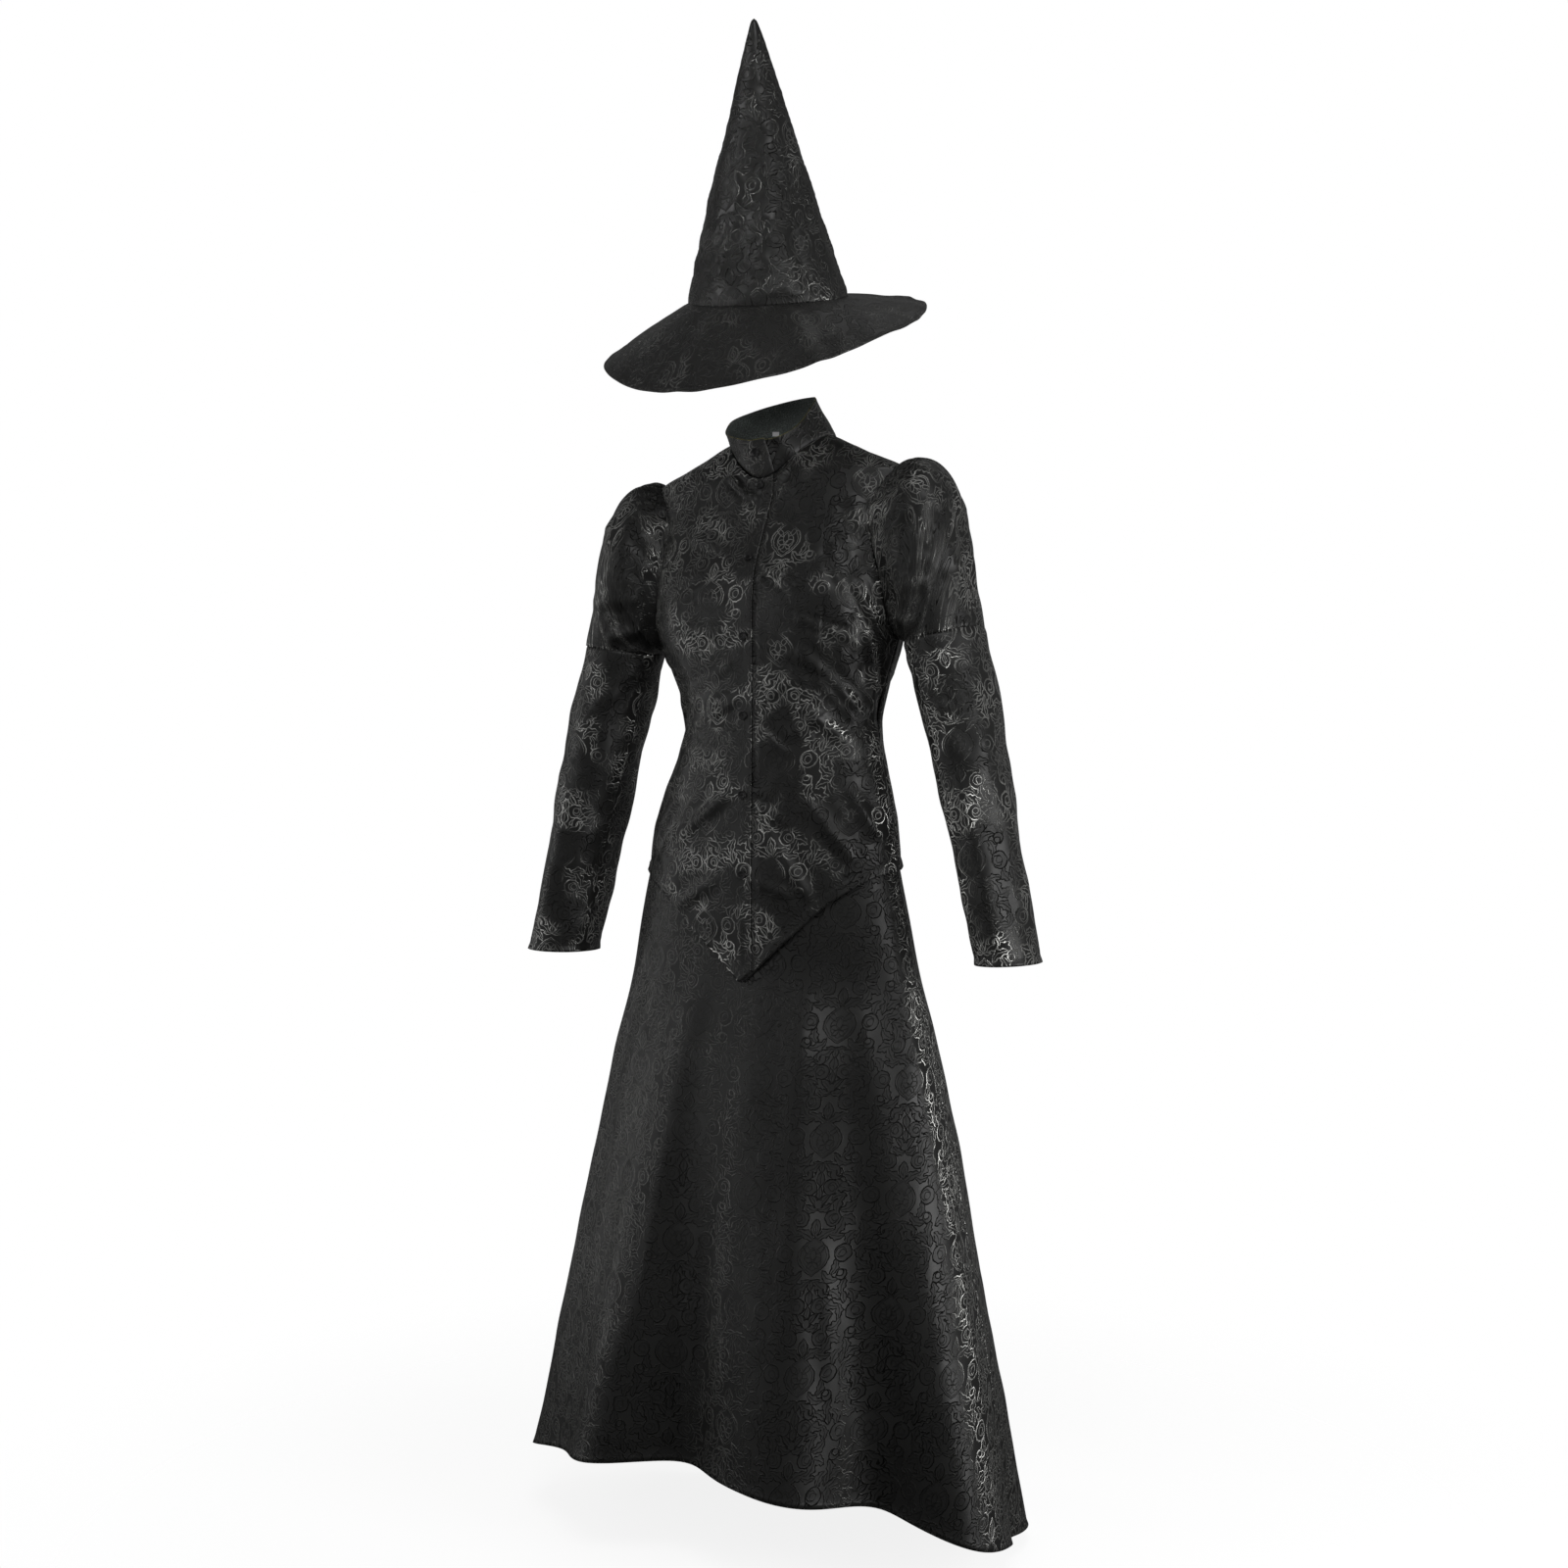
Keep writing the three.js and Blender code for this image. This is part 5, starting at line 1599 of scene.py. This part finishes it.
def damask_cloth(name, piping=0.0, rise=1.0, painted_glint_strength=1.0, clusters=0.5):
    """`rise` -1 turns the figure over, `painted_glint_strength` sets how bright the painted glint on the
    outlines is, `clusters` how patchily it is painted.
    """
    shader = Shader(bpy.data.materials.new(name))
    flat = shader.flat_cut()
    wobble = shader.noise(flat, 0.15, 2.0, out=1)
    wobble = shader.vector("MULTIPLY_ADD", wobble, (3.0, 3.0, 0), (-1.5, -1.5, 0))
    drawn_at = shader.vector("ADD", shader.vector("MULTIPLY", flat, (1, rise, 0)), wobble)
    field, inner = damask_field(shader, drawn_at)
    outline = 1 - field.size().step(*DRAWING["outline"])
    lines_inside = (1 - inner.step(*DRAWING["inner_line"])) * (1 - field.step(-1.0, -0.4))
    drawn = outline.most(lines_inside * DRAWING["inner_share"])
    inside = 1 - field.step(-0.3, 0.5)
    long_threads = shader.vector("MULTIPLY", flat, (1.0, 0.3, 0))
    threads = shader.noise(long_threads, 1.3, 3.0, Roughness=0.7)
    # painted glint: the outline colour is painted from dark grey up to light grey where the cloth slants
    # away from the eye and in patches of a smooth noise, standing in for highlights
    slant = shader.node("ShaderNodeLayerWeight", None, Blend=0.5, out=1).step(0.12, 0.5)
    painted_glint_patches = shader.noise(flat, 0.016, 1.0).step(0.47, 0.64)
    painted_glint = (slant * (painted_glint_patches * clusters + (1 - clusters)) + painted_glint_patches * (clusters * 0.9)) * painted_glint_strength
    line_colour_and_painted_glint = shader.colours(painted_glint, grey(0.025, 0.05), grey(0.8, 0.04))
    colour = shader.colours(inside, grey(0.015, 0.05), grey(0.012, 0.05))
    colour = shader.colours(drawn, colour, line_colour_and_painted_glint)
    colour = shader.colours(threads.step(0.45, 0.8) * 0.25, colour, grey(0.03, 0.05))
    rough = SATIN["rough"] + inside * SATIN["figure"] + drawn * SATIN["outline"]
    rough = rough + (threads - 0.5) * SATIN["thread"]
    near, run = shader.parts(shader.node("ShaderNodeUVMap", {"uv_map": "edge"}))
    near, run = near * 1000, run * 1000
    stitch = stitches_along(shader, near, run)
    colour = shader.colours(stitch * 0.8, colour, grey(0.004))
    if piping:
        colour = shader.colours(1 - near.step(piping * 0.7, piping), colour, PIPING_OLIVE)
    relief = drawn + inside * 0.3 + threads * 0.25 - stitch * 0.8
    across = shader.node("ShaderNodeTangent", {"direction_type": "UV_MAP", "uv_map": "cut"})
    across = shader.vector("SCALE", across, Scale=inside * LEAN["figure"] + drawn * LEAN["outline"])
    upright = shader.node("ShaderNodeNewGeometry", None, out=1)
    lean = shader.vector("NORMALIZE", shader.vector("ADD", upright, across))
    bump = shader.node("ShaderNodeBump", None, Strength=0.45, Distance=0.0006, Height=relief, Normal=lean)
    body = shader.node(
        "ShaderNodeBsdfPrincipled", None,
        Base_Color=colour, Metallic=drawn * SATIN["metal"], Roughness=rough, Normal=bump,
    )
    shader.node("ShaderNodeOutputMaterial", None, body)
    return shader.owner


damask = damask_cloth("black damask")
sleeve_damask = damask_cloth("black damask, drawn the other way up", rise=-1.0)
skirt_damask = damask_cloth("black damask of the skirt", clusters=0.0, painted_glint_strength=0.5)
hat_damask = damask_cloth("black damask of the hat", painted_glint_strength=0.2)
collar_damask = damask_cloth("black damask with olive piping", piping=1.3, painted_glint_strength=0.4)
print("nodes in the damask:", len(damask.node_tree.nodes))

# %% The wrong side, the buttons and the label
REVERSE = {
    "dark": (0.026, 0.031, 0.029, 1),
    "light": (0.25, 0.28, 0.265, 1),
    "figure": (0.07, 0.08, 0.076, 1),
}


def cloth_reverse(name):
    """The wrong side, where the loose threads make a greyer, speckled face."""
    shader = Shader(bpy.data.materials.new(name))
    flat = shader.flat_cut()
    specks = shader.noise(flat, 0.7, 3.0, Roughness=0.8)
    field, inner = damask_field(shader, flat)
    inside = 1 - field.step(-0.4, 0.4)
    colour = shader.colours(specks.step(0.35, 0.7), REVERSE["dark"], REVERSE["light"])
    colour = shader.colours(inside * 0.4, colour, REVERSE["figure"])
    bump = shader.node("ShaderNodeBump", None, Strength=0.4, Distance=0.0004, Height=specks)
    body = shader.node("ShaderNodeBsdfPrincipled", None, Base_Color=colour, Roughness=0.8, Normal=bump)
    shader.node("ShaderNodeOutputMaterial", None, body)
    return shader.owner


def plain_finish(name, colour, rough, specks=0.0):
    """A smooth finish with faint uneven polish, read in the object's own place."""
    shader = Shader(bpy.data.materials.new(name))
    place = shader.node("ShaderNodeTexCoord", None, out=3)
    noise = shader.node("ShaderNodeTexNoise", None, Vector=place, Scale=900.0, Detail=2.0)
    rough_here = rough + (noise - 0.5) * 0.12
    tone = shader.colours(noise * specks, colour, tuple(c * 0.8 for c in colour[:3]) + (1,))
    body = shader.node("ShaderNodeBsdfPrincipled", None, Base_Color=tone, Roughness=rough_here)
    shader.node("ShaderNodeOutputMaterial", None, body)
    return shader.owner


reverse = cloth_reverse("damask reverse")
button_finish = plain_finish("black button", grey(0.006), 0.42, 0.3)
label_finish = plain_finish("white label", grey(0.9), 0.7, 0.2)
for piece in buttons:
    piece.data.materials.clear()
    piece.data.materials.append(button_finish)
label = bpy.data.objects.get("neck_label")
if label:
    for place in label.material_slots:
        place.material = label_finish
print("nodes in the reverse:", len(reverse.node_tree.nodes))

# %% [markdown]
# ## What each piece stands for
# Each shell takes the place of one solid, which is hidden, and is cut from the same damask. Its flat
# size and area are printed. The area is summed over the cells of the flat grid, because a flared or
# pointed piece fills only a part of its box. Sleeves, skirt, collar and hat have their own damask,
# with the figure turned over or a weaker painted glint.

WORN = {
    "jacket_front_left": (front_left, "hung", ["jacket_back"]),
    "jacket_front_right": (front_right, "hung", ["jacket_back"]),
    "jacket_back": (back, "hung", ["collar"]),
    "collar": (collar, "folded", ["jacket_back"]),
    "sleeve_upper_left": (sleeve_upper_left, "gathered", ["jacket_front_left", "jacket_back"]),
    "sleeve_upper_right": (sleeve_upper_right, "gathered", ["jacket_front_right", "jacket_back"]),
    "sleeve_lower_left": (sleeve_lower_left, "hung", ["sleeve_upper_left"]),
    "sleeve_lower_right": (sleeve_lower_right, "hung", ["sleeve_upper_right"]),
    "skirt_front": (skirt_front, "hung", ["skirt_waistband"]),
    "skirt_back": (skirt_back, "hung", ["skirt_waistband"]),
    "skirt_waistband": (waistband, "folded", ["skirt_front", "skirt_back"]),
    "hat_crown": (crown, "folded", ["hat_brim"]),
    "hat_brim": (brim, "stretched", ["hat_crown"]),
}
OWN_DAMASK = {"collar": collar_damask, "sleeve": sleeve_damask, "hat": hat_damask, "skirt": skirt_damask}
for node, (piece, held, rests_on) in WORN.items():
    piece.data.materials.append(OWN_DAMASK.get(node.split("_")[0], damask))
    piece.data.materials.append(reverse)
    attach(piece, "root")
    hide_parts(node)
    width, length = piece["flat_size"]
    area = min(piece["flat_area"], width * length)
    print(node, "cut", round(width, 3), "x", round(length, 3), "area", round(area, 3))

# %% [markdown]
# ## Light
# Black satin shows only what it mirrors, so its folds are drawn by the shape of the lights. One
# strong lamp would leave hard specks. A wide soft box left of the wearer, low down, makes the long
# sheen on skirt and sleeve, two tall ones at the wearer's right lift the dark side, and a high box
# lights the front. Two narrow beams light the inside of the collar and the hat, which the brim
# would shade.

# %% Soft boxes
def soft_box(name, angle, height, distance, size, power, aim_z=-0.5, spread=180):
    """Angle and distance from the origin in degrees and metres, power in watts."""
    light = bpy.data.lights.new(name, "AREA")
    light.shape = "RECTANGLE"
    light.size, light.size_y = size
    light.energy = power
    light.spread = math.radians(spread)
    lamp = bpy.data.objects.new(name, light)
    turn = math.radians(angle)
    lamp.location = (distance * math.cos(turn), distance * math.sin(turn), height)
    aim = Vector((0, 0, aim_z)) - lamp.location
    lamp.rotation_euler = aim.to_track_quat("-Z", "Y").to_euler()
    bpy.context.scene.collection.objects.link(lamp)


BOX_COLUMNS = "angle height distance size power aim_z spread".split()
SOFT_BOXES = {
    "wide box left of the wearer": (-14, -0.36, 2.4, (1.2, 1.2), 21, -0.5, 180),
    "tall box right of the wearer": (-168, -0.4, 2.2, (0.4, 1.8), 3.2, -0.5, 180),
    "box before the right shoulder": (-126, 0.0, 2.8, (0.6, 2.2), 4.5, -0.5, 180),
    "high front box": (-60, 2.1, 2.6, (1.2, 1.0), 22, -0.5, 180),
    "top box": (80, 2.6, 0.9, (1.4, 1.4), 2.5, -0.5, 180),
    "narrow box at the collar": (-62, 0.1, 1.8, (0.25, 0.25), 0.045, 0.03, 12),
    "narrow box at the hat": (-132, 0.9, 2.2, (0.5, 0.5), 0.12, 0.36, 14),
}
for name, row in SOFT_BOXES.items():
    soft_box(name, **dict(zip(BOX_COLUMNS, row)))
print("soft boxes:", len(SOFT_BOXES))

# %% [markdown]
# ## White all round
# The photo is a cut-out on white. A white world would wash out the satin, so the world is white
# only where it is seen straight, and dim where it lights the cloth. The floor is a pale disc that
# fades out towards its rim, so that no horizon line shows.

# %% World and floor
WORLD_DIM = 0.12
FLOOR = {"height": -1.4185, "radius": 1.6, "fade": (0.5, 1.3)}
world = bpy.data.worlds.new("white studio")
bpy.context.scene.world = world
world_shader = Shader(world)
seen = world_shader.node("ShaderNodeLightPath")
dim = world_shader.node("ShaderNodeBackground", None, Color=grey(1), Strength=WORLD_DIM)
white = world_shader.node("ShaderNodeBackground", None, Color=grey(1), Strength=1.0)
either = world_shader.node("ShaderNodeMixShader", None, seen, dim, white)
world_shader.node("ShaderNodeOutputWorld", None, either)

floor_shape = bmesh.new()
bmesh.ops.create_circle(floor_shape, cap_ends=True, segments=96, radius=FLOOR["radius"])
bmesh.ops.translate(floor_shape, verts=floor_shape.verts, vec=(0, 0, FLOOR["height"]))
floor_mesh = bpy.data.meshes.new("floor")
floor_shape.to_mesh(floor_mesh)
floor_shape.free()
floor = bpy.data.objects.new("floor", floor_mesh)
bpy.context.scene.collection.objects.link(floor)
floor_shader = Shader(bpy.data.materials.new("pale floor"))
place = floor_shader.node("ShaderNodeTexCoord", None, out=3)
from_middle = floor_shader.vector("LENGTH", floor_shader.vector("MULTIPLY", place, (1, 1, 0)), out=1)
pale = floor_shader.node(
    "ShaderNodeBsdfPrincipled", None, Base_Color=grey(0.35), Roughness=0.9,
    Emission_Color=grey(1.0), Emission_Strength=0.86, Alpha=1 - from_middle.step(*FLOOR["fade"]),
)
dull = floor_shader.node("ShaderNodeBsdfDiffuse", None, Color=grey(0.1))
seen = floor_shader.node("ShaderNodeLightPath")
either = floor_shader.node("ShaderNodeMixShader", None, seen, dull, pale)
floor_shader.node("ShaderNodeOutputMaterial", None, either)
floor.data.materials.append(floor_shader.owner)
print("floor at:", FLOOR["height"])

# %% [markdown]
# ## Camera
# The camera stands level with the hips, thirty degrees round to the wearer's left. Place and lens
# were worked out from where neckline, cuffs and hem lie in the picture.

# %% Camera
CAMERA = {"place": (1.25, -2.165, -0.448), "turn": 30, "lens": 43.94, "sensor_width": 36}
camera_data = bpy.data.cameras.new("camera")
camera_data.sensor_width = CAMERA["sensor_width"]
camera_data.lens = CAMERA["lens"]
camera = bpy.data.objects.new("camera", camera_data)
camera.location = CAMERA["place"]
camera.rotation_euler = (math.radians(90), 0, math.radians(CAMERA["turn"]))
bpy.context.scene.collection.objects.link(camera)
bpy.context.scene.camera = camera
bpy.context.scene.view_settings.view_transform = "Standard"
print("camera:", CAMERA)
